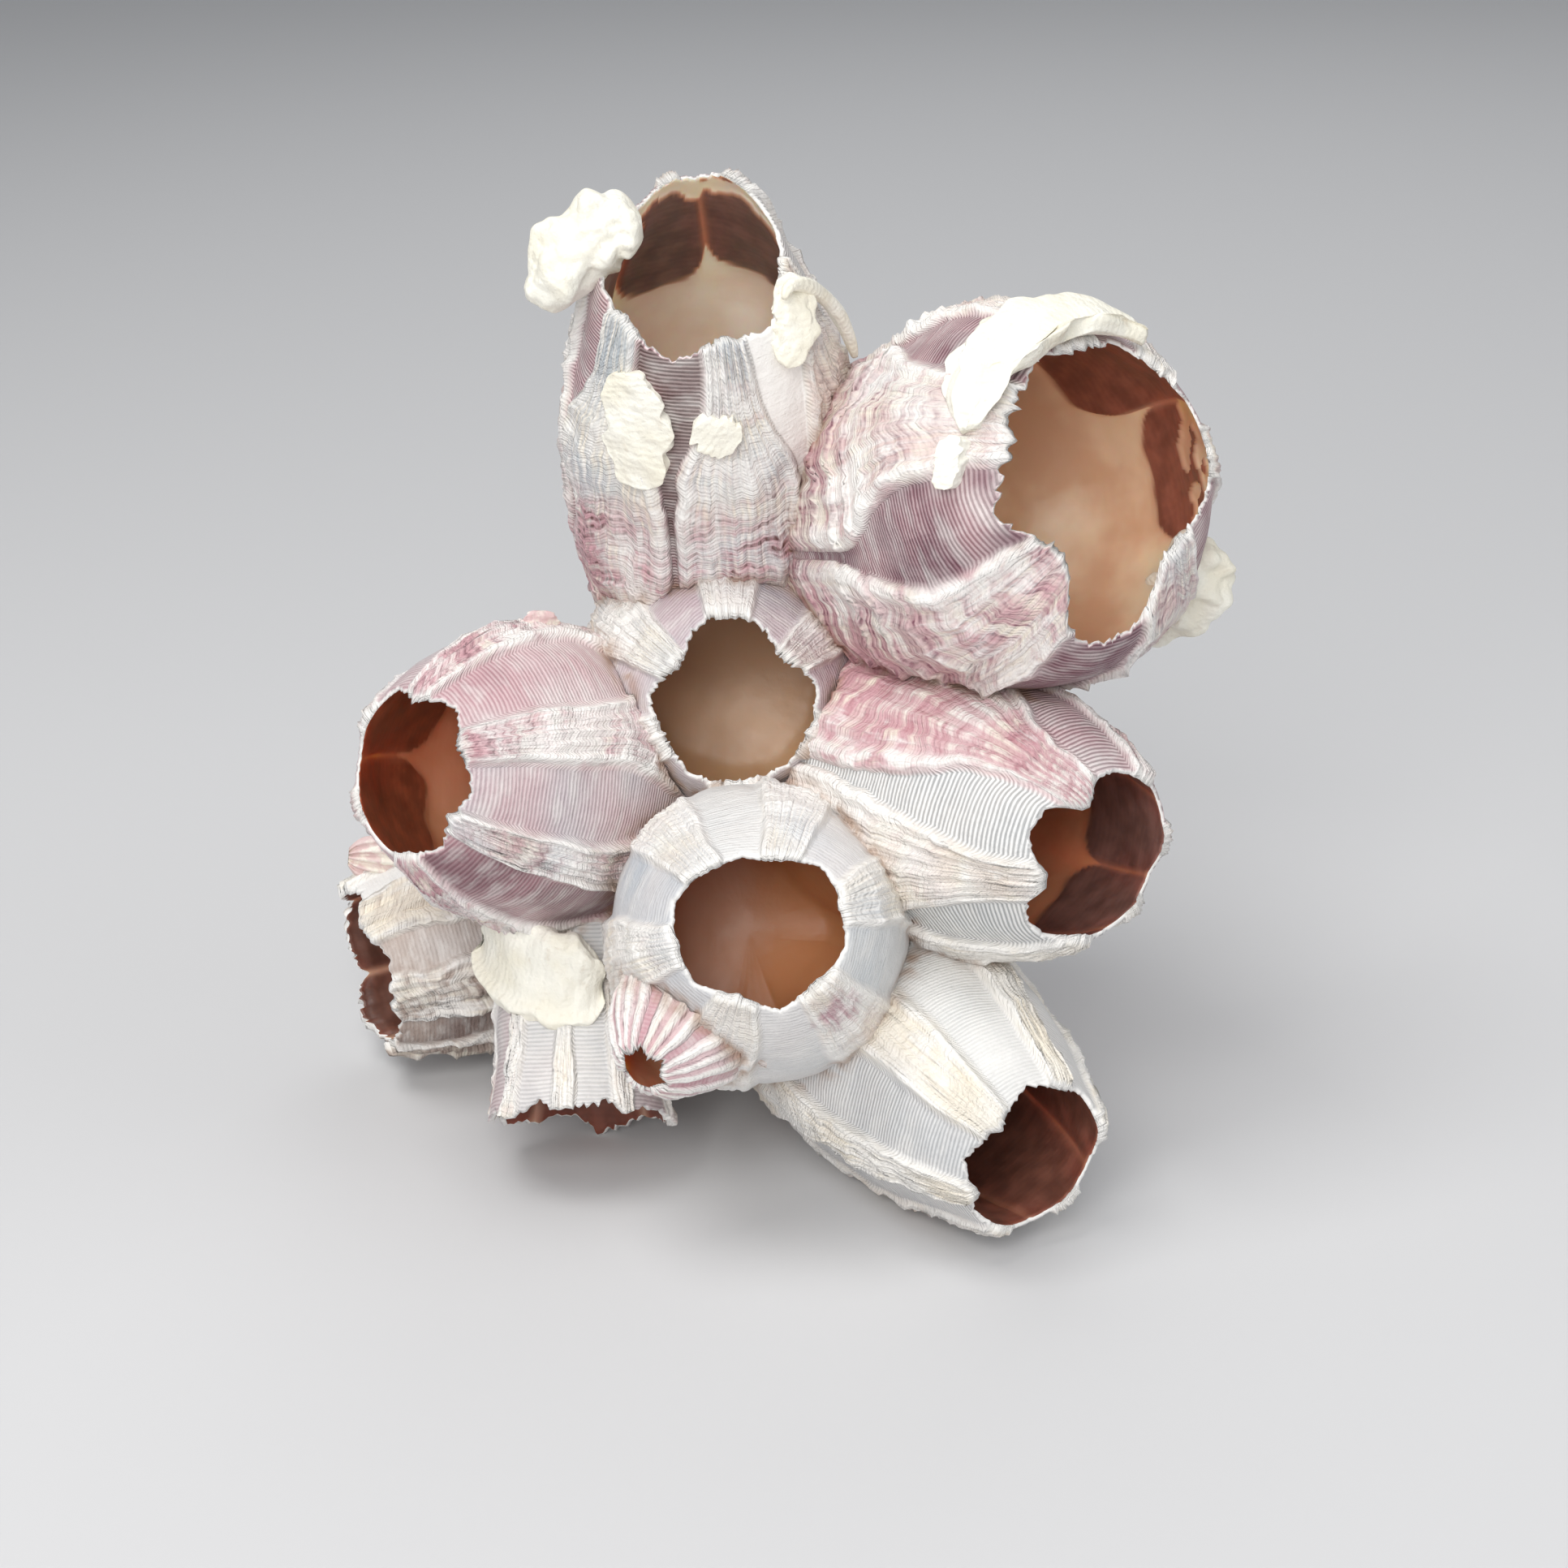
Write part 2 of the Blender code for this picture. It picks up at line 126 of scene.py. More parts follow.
CREST_HEIGHT = 0.08
WELD = 1e-5
SUNK = 1.3  # how deep a younger shell's hidden wall lies in an older shell's wall
LUMP_SIZE = 11.0
LEDGE_PITCH = 4.6
RING_PITCH = 1.1
PLATE_AT_BASE = 0.97  # share of its sixth of the shell that a plate fills at the base
BAND_COLUMNS = 0.2  # share of a plate's columns that lies in the band at each side of it
# Share of a plate's columns against how far the wall stands out there
RAISED = (
    (0, 0.175, 0.2, 0.225, 0.28, 0.4, 0.5, 0.6, 0.72, 0.775, 0.8, 0.825, 1),
    (0, 0.05, 0.5, 0.95, 0.78, 0.86, 1, 0.86, 0.78, 0.95, 0.5, 0.05, 0),
)
TOOTH = ((0, 0.2, 0.5, 0.8, 1), (0, 0.6, 1, 0.6, 0))

# Lengths are millimetres. Six numbers are one for each plate, or for the band before it, and shares of
# height run from the base to the mouth. The sheath's shares are measured down from the rim.
PLAIN_SHELL = dict(
    bend=(0, 0, 0), top=(0, 0, 1), tilt=(0, 0, 0), teeth=(1,) * 6, notches=(), pinches=(), floor_at=0.26,
    rim_wall=1.0, base_wall=3.5, contact_wall=1.5, step=1.2, raised_at_rim=0.38, bands_from=0.28,
    wander=0.16, lumps=0.8, ragged=0.6, ribs=4, rib_height=0.16, ledges=0.4, scallop=0.6, scallops=4.5,
    wrinkles=0.35, sheath=(0.22,) * 6, bare_rim=(0,) * 6, mauve=(0.3,) * 6, blue=(0.2,) * 6,
    band_mauve=(0.4,) * 6, band_blue=(0.4,) * 6, furrows=(0,) * 6, base_mauve=0.2, cream=0.3, spot=None,
)


def across_axis(tangent, side):
    side = np.asarray(side, float)
    up = side - tangent * (tangent @ side)[..., None]
    up = up / np.linalg.norm(up, axis=-1, keepdims=True)
    return up, np.cross(tangent, up)


def shell_axis(b, s):
    """Centre of the shell at each height s, the axis there, and two directions across it."""
    base = np.array(b["base"], float)
    mouth = np.array(b["mouth"], float)
    bend = np.array(b["bend"], float)
    s = np.asarray(s, float)[..., None]
    centre = base + (mouth - base) * s + bend * (4 * s * (1 - s))
    tangent = (mouth - base) + bend * (4 - 8 * s)
    tangent = tangent / np.linalg.norm(tangent, axis=-1, keepdims=True)
    up, across = across_axis(tangent, b["top"])
    return centre, tangent, up, across


def shell_radius(b, s):
    """Radius of the plain turned form: wide in the belly, drawn in at the base and at the mouth."""
    below = np.clip((b["belly_at"] - s) / b["belly_at"], 0, 1.3)
    above = np.clip((s - b["belly_at"]) / (1 - b["belly_at"]), 0, 1.3)
    to_base = b["belly_r"] - b["base_r"]
    to_mouth = b["belly_r"] - b["mouth_r"]
    return b["belly_r"] - to_base * below**2 - to_mouth * above**2


SLOPES = np.random.default_rng(7).normal(size=(1024, 3))
SLOPES /= np.linalg.norm(SLOPES, axis=1)[:, None]


def soft_noise(points, size, seed):
    """Smooth lumps from about -1 to 1: each whole coordinate has its own slope, and they are blended."""
    place = np.asarray(points, float) / size + seed * np.array((7.3, 3.1, 5.7))
    cell = np.floor(place).astype(np.int64)
    inside = place - cell
    fade = inside**3 * (inside * (inside * 6 - 15) + 10)
    total = np.zeros(len(place))
    for corner in np.ndindex(2, 2, 2):
        key = (cell + corner) * (73856093, 19349663, 83492791)
        key = key[:, 0] ^ key[:, 1] ^ key[:, 2]
        slope = SLOPES[(key ^ (key >> 11)) & 1023]
        share = np.prod(np.where(corner, fade, 1 - fade), axis=1)
        total += share * np.sum(slope * (inside - corner), axis=1)
    return 1.5 * total


def smooth(low, high, x):
    t = np.clip((x - low) / (high - low), 0, 1)
    return t * t * (3 - 2 * t)


def pressed_in(b, angle, s):
    """How far the pinches push the wall towards the axis."""
    depth = np.zeros_like(angle)
    for at, half_width, amount in b["pinches"]:
        away = np.abs((np.degrees(angle) - at + 180) % 360 - 180) / half_width
        depth = depth + amount * np.clip(1 - away**2, 0, 1) ** 2 * np.clip((s - 0.5) / 0.5, 0, 1) ** 2
    return depth


def out_of_shell(b, points):
    """How far points lie outside a shell's form, the shortest way out of it, and their height on it."""
    base = np.array(b["base"], float)
    axis = np.array(b["mouth"], float) - base
    s = ((points - base) @ axis) / (axis @ axis)
    centre, tangent, up, across = shell_axis(b, np.clip(s, 0, 1))
    away = points - centre
    away = away - tangent * np.sum(away * tangent, axis=1)[:, None]
    distance = np.linalg.norm(away, axis=1)
    way = away / np.maximum(distance, 1e-6)[:, None]
    angle = np.arctan2(np.sum(way * across, axis=1), np.sum(way * up, axis=1))
    radius = shell_radius(b, np.clip(s, 0, 1)) - pressed_in(b, angle, s)
    return distance - radius, way, s


def move_out(points, others, least):
    """Moves the points that lie too deep in one of the other shells out along that shell's radius."""
    points = points.copy()
    for other in others:
        depth, way, s = out_of_shell(other, points)
        near = (depth < least + 2) & (s > 0) & (s < 1)
        if near.any():
            bump = other["lumps"] * soft_noise(points[near], LUMP_SIZE, other["seed"])
            gap = depth[near] - bump
            # An older wall is thin near its rim, so a younger one stays out of it there
            limit = least * smooth(1.0, 0.55, s[near]) if least < 0 else least
            fade = smooth(0.0, 0.08, s[near]) * smooth(1.0, 0.94, s[near])
            points[near] += way[near] * (np.clip(limit - gap, 0, None) * fade)[:, None]
    return points


def plate_layout(b, column, v):
    """Plate, place across it and angle round the axis of each point, with torn, wandering plate edges."""
    plate, across = np.divmod(column, 1.0)
    own_edge = plate * 5.3 + np.where(across < 0.5, 0.0, 3.7)
    level = np.zeros_like(v)
    wander = b["wander"] * soft_noise(np.stack([v * 6, own_edge, level], axis=1), 1.0, b["seed"])
    torn = 0.05 * soft_noise(np.stack([v * 26, own_edge, level], axis=1), 1.0, b["seed"] + 2)
    narrowed = smooth(b["bands_from"], b["bands_from"] + 0.42, v)
    half = PLATE_AT_BASE + (b["raised_at_rim"] - PLATE_AT_BASE) * narrowed
    half = np.minimum(0.5 * half * (1 + (wander + torn) * smooth(1.0, 0.94, v)), 0.48)
    share = 0.5 + (across - 0.5) / (0.5 - BAND_COLUMNS) * half
    share = np.where(across < BAND_COLUMNS, across / BAND_COLUMNS * (0.5 - half), share)
    share = np.where(across > 1 - BAND_COLUMNS, 1 - (1 - across) / BAND_COLUMNS * (0.5 - half), share)
    edges = np.concatenate([[0], np.cumsum(b["shares"])]) / sum(b["shares"])
    turns = np.interp((plate + share) % PLATES, range(PLATES + 1), edges)
    return plate.astype(int), across, share, 2 * math.pi * turns + math.radians(b["turn"])


def rim_height(b, plate, across, share, outward):
    """Height gained or lost at the rim: its tilt, a tooth on each plate and the broken notches."""
    tooth = np.array(b["teeth"], float)[plate] * np.interp(across, *TOOTH)
    height = tooth - outward @ np.array(b["tilt"], float)
    for at, half_width, depth in b["notches"]:
        away = np.abs((plate + share - at + PLATES / 2) % PLATES - PLATES / 2) / half_width
        height = height - depth * np.clip(1 - away**3, 0, 1)
    return height


def wall_points(b, column, v, inner):
    """Points of one side of the wall, and the masks that its colours follow."""
    plate, across, share, angle = plate_layout(b, column, v)
    seed = b["seed"]
    length = np.linalg.norm(np.subtract(b["mouth"], b["base"]))
    _, _, up, side = shell_axis(b, np.ones_like(v))
    outward = up * np.cos(angle)[:, None] + side * np.sin(angle)[:, None]
    none = np.zeros_like(v)
    ring = np.stack([np.cos(angle), np.sin(angle), none], axis=1)
    chips = 0.9 * soft_noise(ring * 6.0, 1.0, seed + 3) + 0.35 * soft_noise(ring * 15.0, 1.0, seed + 5)
    chips = b["ragged"] * (chips - 0.7 * smooth(0.12, 0.3, chips))
    follows = smooth(0.5, 1.0, v) if inner else v
    rim = rim_height(b, plate, across, share, outward)
    s = v + follows * rim / length + v**14 * chips / length
    centre, _, up, side = shell_axis(b, s)
    outward = up * np.cos(angle)[:, None] + side * np.sin(angle)[:, None]
    step = b["step"] * np.interp(v, (0, 0.15, 0.6, 1), (0.2, 0.7, 1, 0.8))
    plain = shell_radius(b, s) - pressed_in(b, angle, s)
    fold = 0 if inner else step * (np.interp(across, *TOOTH) - 0.5)
    around = centre + outward * (plain + fold)[:, None]

    def noise(size, more):
        return soft_noise(around, size, seed + more)

    change = b["lumps"] * noise(LUMP_SIZE, 0)
    local = np.clip((across - 0.5) / (0.5 - BAND_COLUMNS), -1, 1)
    to_edge = np.minimum(across, 1 - across)
    band = 1 - smooth(0.17, 0.215, to_edge)
    along = s * length
    rib = math.pi * (b["ribs"] * local + b["ribs"] + 1)
    edge = np.exp(-(((to_edge - 0.235) / 0.035) ** 2)) * smooth(0.1, 0.5, v)
    masks = dict(
        along=along, band=band, edge=edge, rib=rib, plate=plate, ring_x=ring[:, 0], ring_y=ring[:, 1],
        sheath=none, suture=none, lining=none + inner,
    )
    if inner:
        reach = np.array(b["sheath"], float)[plate] * (0.70 + 0.32 * (1 - (2 * share - 1) ** 6))
        below_rim = (1 - s) * length + rim
        depth = below_rim - reach * length + 0.8 * noise(4.0, 37)
        bare = np.array(b["bare_rim"], float)[plate]
        worn = below_rim - bare + 1.3 * bare * noise(3.0, 39)
        covered = np.where(bare > 0, smooth(-0.4, 0.4, worn), 1)
        masks["sheath"] = smooth(0.9, -0.5, depth) * smooth(0.0, 0.02, reach) * covered
        arc = np.minimum(share, 1 - share) * plain * math.radians(60)
        masks["suture"] = np.exp(-((arc / 0.5) ** 2))
        fold = 0.35 * np.cos(2 * math.pi * share) * smooth(1.0, 0.85, s) * smooth(0.5, 0.85, s)
        wall = b["rim_wall"] + (b["base_wall"] - b["rim_wall"]) * np.clip(1 - s, 0, 1) ** 1.2
        rounded = 0.3 * plain * np.clip((b["floor_at"] + 0.22 - s) / 0.22, 0, 1) ** 2
        skin = 0.5 * masks["sheath"] * smooth(1.0, 0.92, v) * (1 - masks["suture"])
        change = change - wall - rounded - skin + fold + 0.12 * noise(2.6, 11)
        return centre + outward * (plain + change)[:, None], masks
    warp = 2.6 * noise(LUMP_SIZE, 7) + 0.5 * noise(4.5, 41)
    drift = 0.9 * noise(14.0, 19)
    scallops = b["scallop"] * np.abs(np.sin(angle * b["scallops"] + drift))
    layered = along + (1 - band) * (warp + 2 * scallops + 0.15 * np.cos(rib))
    masks["along"] = layered
    saw = (layered / LEDGE_PITCH) % 1.0
    come_and_go = 0.3 + smooth(-0.3, 0.5, noise(9.0, 43))
    layers = b["ledges"] * come_and_go * (1 - band * 0.85) * (saw**3 - 0.25) * smooth(1.0, 0.88, v)
    turned = np.stack([ring[:, 0] * 3, ring[:, 1] * 3, layered / RING_PITCH], axis=1)
    rings = 0.13 * (1 - 0.7 * band) * soft_noise(turned, 1.0, seed + 29)
    streak = np.stack([rib * 0.5 + warp * 0.3, plate * 3.1, along / 11], axis=1)
    crease = 1 - np.abs(soft_noise(streak, 1.0, seed + 31)) * 2.2
    wrinkles = b["wrinkles"] * (np.clip(crease, 0, 1) ** 2 - 0.3) * (1 - band) * smooth(0.0, 0.3, v)
    ribs = b["rib_height"] * np.cos(rib) * (1 - band) * smooth(0.0, 0.3, v)
    ribs = ribs * (0.6 + noise(7.0, 45))
    rough = 0.30 * noise(4.2, 13) + 0.12 * noise(1.5, 17)
    height = step * (np.interp(across, *RAISED) - 0.5) + layers + rings + wrinkles + ribs
    return centre + outward * (plain + change + height + rough * (1 - 0.6 * band))[:, None], masks


def blank_drum(rows, columns):
    """A closed drum with a ring of points at each whole height, turned from its half profile."""
    bm = bmesh.new()
    profile = [bm.verts.new((0, 0, 0))]
    profile += [bm.verts.new((1, 0, row)) for row in range(rows)]
    profile.append(bm.verts.new((0, 0, rows - 1)))
    edges = [bm.edges.new(pair) for pair in zip(profile, profile[1:])]
    bmesh.ops.spin(
        bm, geom=profile + edges, cent=(0, 0, 0), axis=(0, 0, 1), angle=2 * math.pi, steps=columns,
        use_merge=True
    )
    bmesh.ops.remove_doubles(bm, verts=bm.verts, dist=WELD)
    return bm


def shaped_piece(name, rings, poles, masks):
    """Moves a blank drum's rings and poles to the points given, in millimetres, and adds the masks."""
    columns = len(rings[0])
    bm = blank_drum(len(rings), columns)
    mesh = bpy.data.meshes.new(name)
    bm.to_mesh(mesh)
    bm.free()
    flat = np.empty(len(mesh.vertices) * 3)
    mesh.vertices.foreach_get("co", flat)
    flat = flat.reshape(-1, 3)
    row = np.rint(flat[:, 2]).astype(int)
    column = np.rint(np.arctan2(flat[:, 1], flat[:, 0]) / (2 * math.pi) * columns).astype(int) % columns
    middle = np.hypot(flat[:, 0], flat[:, 1]) < 0.5
    grid = np.stack(rings)
    points = grid[row, column]
    points[middle] = np.where(row[middle, None] == 0, poles[0], poles[1])
    points[:, 2] = np.maximum(points[:, 2], 0)
    points = (points + CLUSTER_SHIFT) * MM
    mesh.vertices.foreach_set("co", points.ravel())
    for key, values in masks.items():
        layer = mesh.attributes.new(key, "FLOAT", "POINT")
        layer.data.foreach_set("value", np.stack(values)[row, column].astype(np.float32))
    mesh.update()
    mesh.calc_loop_triangles()
    corners = np.empty(len(mesh.loop_triangles) * 3, int)
    mesh.loop_triangles.foreach_get("vertices", corners)
    a, b, c = points[corners.reshape(-1, 3)].transpose(1, 0, 2)
    if np.sum(a * np.cross(b, c)) < 0:
        mesh.flip_normals()
    mesh.shade_smooth()
    piece = bpy.data.objects.new(name, mesh)
    scene.collection.objects.link(piece)
    return piece


def wire(tree, kind, inputs, **settings):
    """Adds a shader node, with its settings and its inputs given as values or as sockets."""
    made = tree.nodes.new(kind)
    for key, value in settings.items():
        setattr(made, key, value)
    for key, value in inputs.items():
        if isinstance(value, bpy.types.NodeSocket):
            tree.links.new(value, made.inputs[key])
        else:
            made.inputs[key].default_value = value
    return made


def maths(tree, operation, first, second=0.0, third=0.0):
    return wire(tree, "ShaderNodeMath", {0: first, 1: second, 2: third}, operation=operation).outputs[0]


def times(tree, first, second):
    return maths(tree, "MULTIPLY", first, second)


def scaled(tree, value, by, more):
    """A value times one socket or number, plus another."""
    return maths(tree, "MULTIPLY_ADD", value, by, more)


def blend(tree, share, first, second):
    mixed = wire(tree, "ShaderNodeMix", {0: share, 6: first, 7: second}, data_type="RGBA")
    return mixed.outputs[2]


def ramp(tree, value, low, high):
    """Zero below low, one above high, and an even curve between."""
    made = wire(
        tree, "ShaderNodeMapRange", {0: value, 1: low, 2: high}, interpolation_type="SMOOTHSTEP",
        clamp=True
    )
    return made.outputs[0]


def mask_of(tree, name):
    return wire(tree, "ShaderNodeAttribute", {}, attribute_name=name).outputs["Fac"]


def cloud(tree, scale, detail=3.0, distortion=0.0):
    """Noise that lies still on the object, with features of about one over scale metres."""
    place = wire(tree, "ShaderNodeTexCoord", {}).outputs["Object"]
    made = wire(
        tree, "ShaderNodeTexNoise",
        {"Vector": place, "Scale": scale, "Detail": detail, "Distortion": distortion}
    )
    return made.outputs["Fac"]


def waves(tree, distance, pitch, wander):
    """Lines at a pitch in millimetres along a distance, shifted by a wander in millimetres."""
    moved = maths(tree, "ADD", distance, wander)
    turned = times(tree, moved, 2 * math.pi / pitch)
    return scaled(tree, maths(tree, "SINE", turned), 0.5, 0.5)


def drawn_noise(tree, round_scale, along_scale, first, second):
    """Noise drawn out round the shell or along its ribs, on the two masks named and on its height."""
    sides = [times(tree, mask_of(tree, name), round_scale) for name in (first, second)]
    up = times(tree, mask_of(tree, "along"), along_scale)
    place = wire(tree, "ShaderNodeCombineXYZ", {0: sides[0], 1: sides[1], 2: up}).outputs[0]
    return wire(tree, "ShaderNodeTexNoise", {"Vector": place, "Scale": 1.0, "Detail": 3.0}).outputs["Fac"]


def new_group(name, colours, values=()):
    """A node group that takes colours and values, and gives a colour, a roughness and a height."""
    group = bpy.data.node_groups.new(name, "ShaderNodeTree")
    for labels, way, kind in (
        (colours, "INPUT", "NodeSocketColor"),
        (values, "INPUT", "NodeSocketFloat"),
        (["Color"], "OUTPUT", "NodeSocketColor"),
        (["Roughness", "Height"], "OUTPUT", "NodeSocketFloat"),
    ):
        for label in labels:
            group.interface.new_socket(label, in_out=way, socket_type=kind)
    return group


# One group draws what all the shells share: growth lines, ribs, crossing bands and the white edges
lime_marks = new_group(
    "lime_marks", ["White", "Cream", "Slate", "Pink", "Purple", "Stain"], ["Pitch", "Stripes", "Hatch"]
)
t = lime_marks
given = t.nodes.new("NodeGroupInput").outputs
along = mask_of(t, "along")
band = mask_of(t, "band")
mauve = mask_of(t, "mauve")
slate = mask_of(t, "slate")
rib = mask_of(t, "rib")
big = cloud(t, 95, 3)
drift = cloud(t, 170, 1)
middle = cloud(t, 330, 4, 0.6)
fine = cloud(t, 1500, 4)
grain = cloud(t, 5200, 2)
streaks = drawn_noise(t, 0.8, 0.16, "rib", "ring_y")
hair = drawn_noise(t, 3.0, 2.6, "ring_x", "ring_y")
wisps = drawn_noise(t, 3.6, 0.8, "ring_x", "ring_y")
stripe_turns = maths(t, "DIVIDE", scaled(t, drift, 0.7, along), given["Pitch"])
stripes = scaled(t, maths(t, "SINE", times(t, stripe_turns, 2 * math.pi)), 0.5, 0.5)
drawn = times(t, given["Stripes"], ramp(t, maths(t, "ADD", mauve, slate), 0.02, 0.3))

# Growth lines run round the shell and finer ribs along it. Where both are strong they print as dashes
growth = waves(t, along, 0.95, scaled(t, middle, 0.35, times(t, drift, 1.6)))
thread = waves(t, along, 0.41, times(t, middle, 0.3))
fine_ribs = waves(t, rib, 2.2, scaled(t, middle, 1.2, times(t, drift, 5.0)))
lines = times(t, ramp(t, growth, 0.35, 0.95), ramp(t, middle, 0.32, 0.58))
crossed = times(t, ramp(t, growth, 0.2, 0.9), ramp(t, fine_ribs, 0.25, 0.95))
dashes = times(t, crossed, ramp(t, scaled(t, middle, 0.5, streaks), 0.62, 0.85))
marks = scaled(t, times(t, dashes, 0.75), given["Hatch"], times(t, lines, 0.6))
marks = times(t, marks, ramp(t, scaled(t, middle, 0.5, mauve), 0.35, 1.15))
marks = times(t, marks, scaled(t, ramp(t, wisps, 0.40, 0.62), 0.85, 0.1))
creamy = ramp(t, scaled(t, mask_of(t, "cream"), 0.8, big), 0.5, 1.15)
ground = blend(t, creamy, given["White"], given["Cream"])
silk = times(t, slate, ramp(t, scaled(t, fine_ribs, 0.25, streaks), 0.36, 0.72))
ground = blend(t, silk, ground, given["Slate"])
tint = scaled(t, big, 0.6, scaled(t, streaks, 0.3, wisps))
tint = times(t, ramp(t, mauve, 0.0, 0.9), scaled(t, ramp(t, tint, 0.77, 1.08), 0.85, 0.12))
ground = blend(t, tint, ground, given["Pink"])
ground = blend(t, marks, ground, given["Purple"])
in_furrow = ramp(t, times(t, maths(t, "COSINE", rib), -1.0), -0.55, 0.65)
in_furrow = times(t, in_furrow, mask_of(t, "furrow"))
furrow_colour = blend(
    t, ramp(t, scaled(t, wisps, 0.6, middle), 0.7, 1.15), given["Pink"], given["Purple"]
)
ground = blend(t, times(t, in_furrow, 0.85), ground, furrow_colour)
crossing = blend(t, slate, given["White"], given["Slate"])
crossing = blend(t, ramp(t, mauve, 0.0, 0.6), crossing, given["Pink"])
deep = ramp(t, scaled(t, streaks, 0.5, mauve), 0.75, 1.3)
crossing = blend(t, deep, crossing, given["Purple"])
streak = ramp(t, scaled(t, fine, 0.3, stripes), 0.25, 0.85)
patchy = blend(t, ramp(t, wisps, 0.45, 0.70), crossing, given["White"])
crossing = blend(t, 0.35, crossing, patchy)
darker = wire(t, "ShaderNodeHueSaturation", {"Saturation": 1.1, "Value": 0.55, "Color": crossing})
bright = times(t, scaled(t, middle, 0.5, 0.1), scaled(t, deep, -0.65, 1.0))
lighter = blend(t, bright, crossing, given["White"])
crossing = blend(t, times(t, streak, drawn), blend(t, drawn, crossing, darker.outputs[0]), lighter)
colour = blend(t, band, ground, crossing)
chalk = scaled(t, streaks, 0.35, scaled(t, middle, 0.35, cloud(t, 70, 5, 0.4)))
chalk = times(t, ramp(t, chalk, 0.82, 1.0), scaled(t, band, -0.85, 1.0))
colour = blend(t, times(t, chalk, 0.8), colour, given["White"])
worn = times(t, mask_of(t, "edge"), ramp(t, middle, 0.25, 0.55))
colour = blend(t, times(t, worn, 0.9), colour, given["White"])
# Seams are darkened towards the Stain colour: partly real dirt in the furrow, partly painted shade where
# shells meet
seam_dirt_and_shade = times(t, mask_of(t, "seam"), ramp(t, middle, 0.35, 0.7))
colour = blend(t, times(t, seam_dirt_and_shade, 0.75), colour, given["Stain"])
speck = times(t, ramp(t, grain, 0.64, 0.8), 0.2)
colour = blend(t, speck, colour, given["Stain"])
height = times(t, maths(t, "SUBTRACT", stripes, 0.5), times(t, band, drawn))
on_plates = maths(t, "SUBTRACT", 1.0, band)
for relief, amount in ((growth, 0.5), (thread, 0.45), (fine_ribs, 0.45), (streaks, 3.0)):
    height = scaled(t, relief, times(t, on_plates, amount), height)
for relief, amount in ((hair, 1.2), (fine, 1.3), (grain, 0.4)):
    height = scaled(t, relief, amount, height)
rough = scaled(t, fine, 0.4, 0.30)
wire(t, "NodeGroupOutput", {"Color": colour, "Roughness": rough, "Height": height})

# The inside has a brown sheath of horny skin below the rim and smooth lime further down. The lime's
# orange-brown is painted shade in the hollow and painted light through the thin wall, with darker patches
# at random.
inside_marks = new_group("inside_marks", ["Lime", "Stained_and_shaded", "Sheath", "Suture"])
t = inside_marks
given = t.nodes.new("NodeGroupInput").outputs
sheath = mask_of(t, "sheath")
suture = mask_of(t, "suture")
big = cloud(t, 110, 3)
middle = cloud(t, 400, 3)
rings_inside = waves(t, mask_of(t, "along"), 0.9, times(t, big, 3.0))
lime = blend(t, ramp(t, big, 0.35, 0.68), given["Stained_and_shaded"], given["Lime"])
dark = wire(t, "ShaderNodeHueSaturation", {"Value": 1.7, "Color": given["Sheath"]}).outputs[0]
dark = blend(t, ramp(t, scaled(t, rings_inside, 0.05, middle), 0.3, 0.8), given["Sheath"], dark)
colour = blend(t, ramp(t, sheath, 0.3, 0.7), lime, dark)
hem = times(t, ramp(t, sheath, 0.05, 0.45), ramp(t, sheath, 0.98, 0.6))
colour = blend(t, times(t, hem, 0.7), colour, given["Suture"])
line = times(t, suture, times(t, sheath, 0.6))
colour = blend(t, line, colour, given["Suture"])
height = scaled(t, rings_inside, 0.08, times(t, middle, 1.2))
rough = scaled(t, middle, 0.2, 0.32)
wire(t, "NodeGroupOutput", {"Color": colour, "Roughness": rough, "Height": height})

WHITE = (0.93, 0.91, 0.88, 1)
CREAM = (0.90, 0.83, 0.70, 1)
SLATE = (0.50, 0.56, 0.62, 1)
PINK = (0.62, 0.35, 0.39, 1)
PURPLE = (0.27, 0.09, 0.15, 1)
STAIN = (0.36, 0.20, 0.11, 1)


def dress(material, colour, roughness, height, relief):
    """Wires the sockets into the material's shader, with the height as relief of so many metres."""
    tree = material.node_tree
    bump = wire(tree, "ShaderNodeBump", {"Height": height, "Distance": relief})
    sockets = {"Base Color": colour, "Roughness": roughness, "Normal": bump.outputs["Normal"]}
    for key, value in sockets.items():
        tree.links.new(value, tree.nodes["Principled BSDF"].inputs[key])


def finish_of(name, group, colours, relief):
    """A material that takes its colour, roughness and height from a group, with its own colours."""
    made = bpy.data.materials.new(name)
    made.use_nodes = True
    marks = wire(made.node_tree, "ShaderNodeGroup", {}, node_tree=group)
    for key, value in colours.items():
        marks.inputs[key].default_value = value if isinstance(value, float) else (*value[:3], 1)
    dress(made, marks.outputs["Color"], marks.outputs["Roughness"], marks.outputs["Height"], relief)
    return made


OUTSIDE_RELIEF = 0.00011
INSIDE_RELIEF = 0.00006


def lime_finish(name, pitch=0.42, stripes=1.0, hatch=0.6, **changed):
    colours = dict(White=WHITE, Cream=CREAM, Slate=SLATE, Pink=PINK, Purple=PURPLE, Stain=STAIN)
    colours.update(Pitch=pitch, Stripes=stripes, Hatch=hatch)
    return finish_of(name, lime_marks, {**colours, **changed}, OUTSIDE_RELIEF)


# The lime colours given here are painted orange-brown: painted shade inside the shell and painted light
# through its wall
def inside_finish(name, lime, stained_and_shaded, sheath, suture=(0.80, 0.55, 0.40)):
    colours = dict(Lime=lime, Stained_and_shaded=stained_and_shaded, Sheath=sheath, Suture=suture)
    made = finish_of(name, inside_marks, colours, INSIDE_RELIEF)
    shader = made.node_tree.nodes["Principled BSDF"]
    shader.inputs["Subsurface Weight"].default_value = 0.6
    shader.inputs["Subsurface Radius"].default_value = (1.0, 0.5, 0.28)
    shader.inputs["Subsurface Scale"].default_value = 0.003
    return made


grown = {}
shells = {}


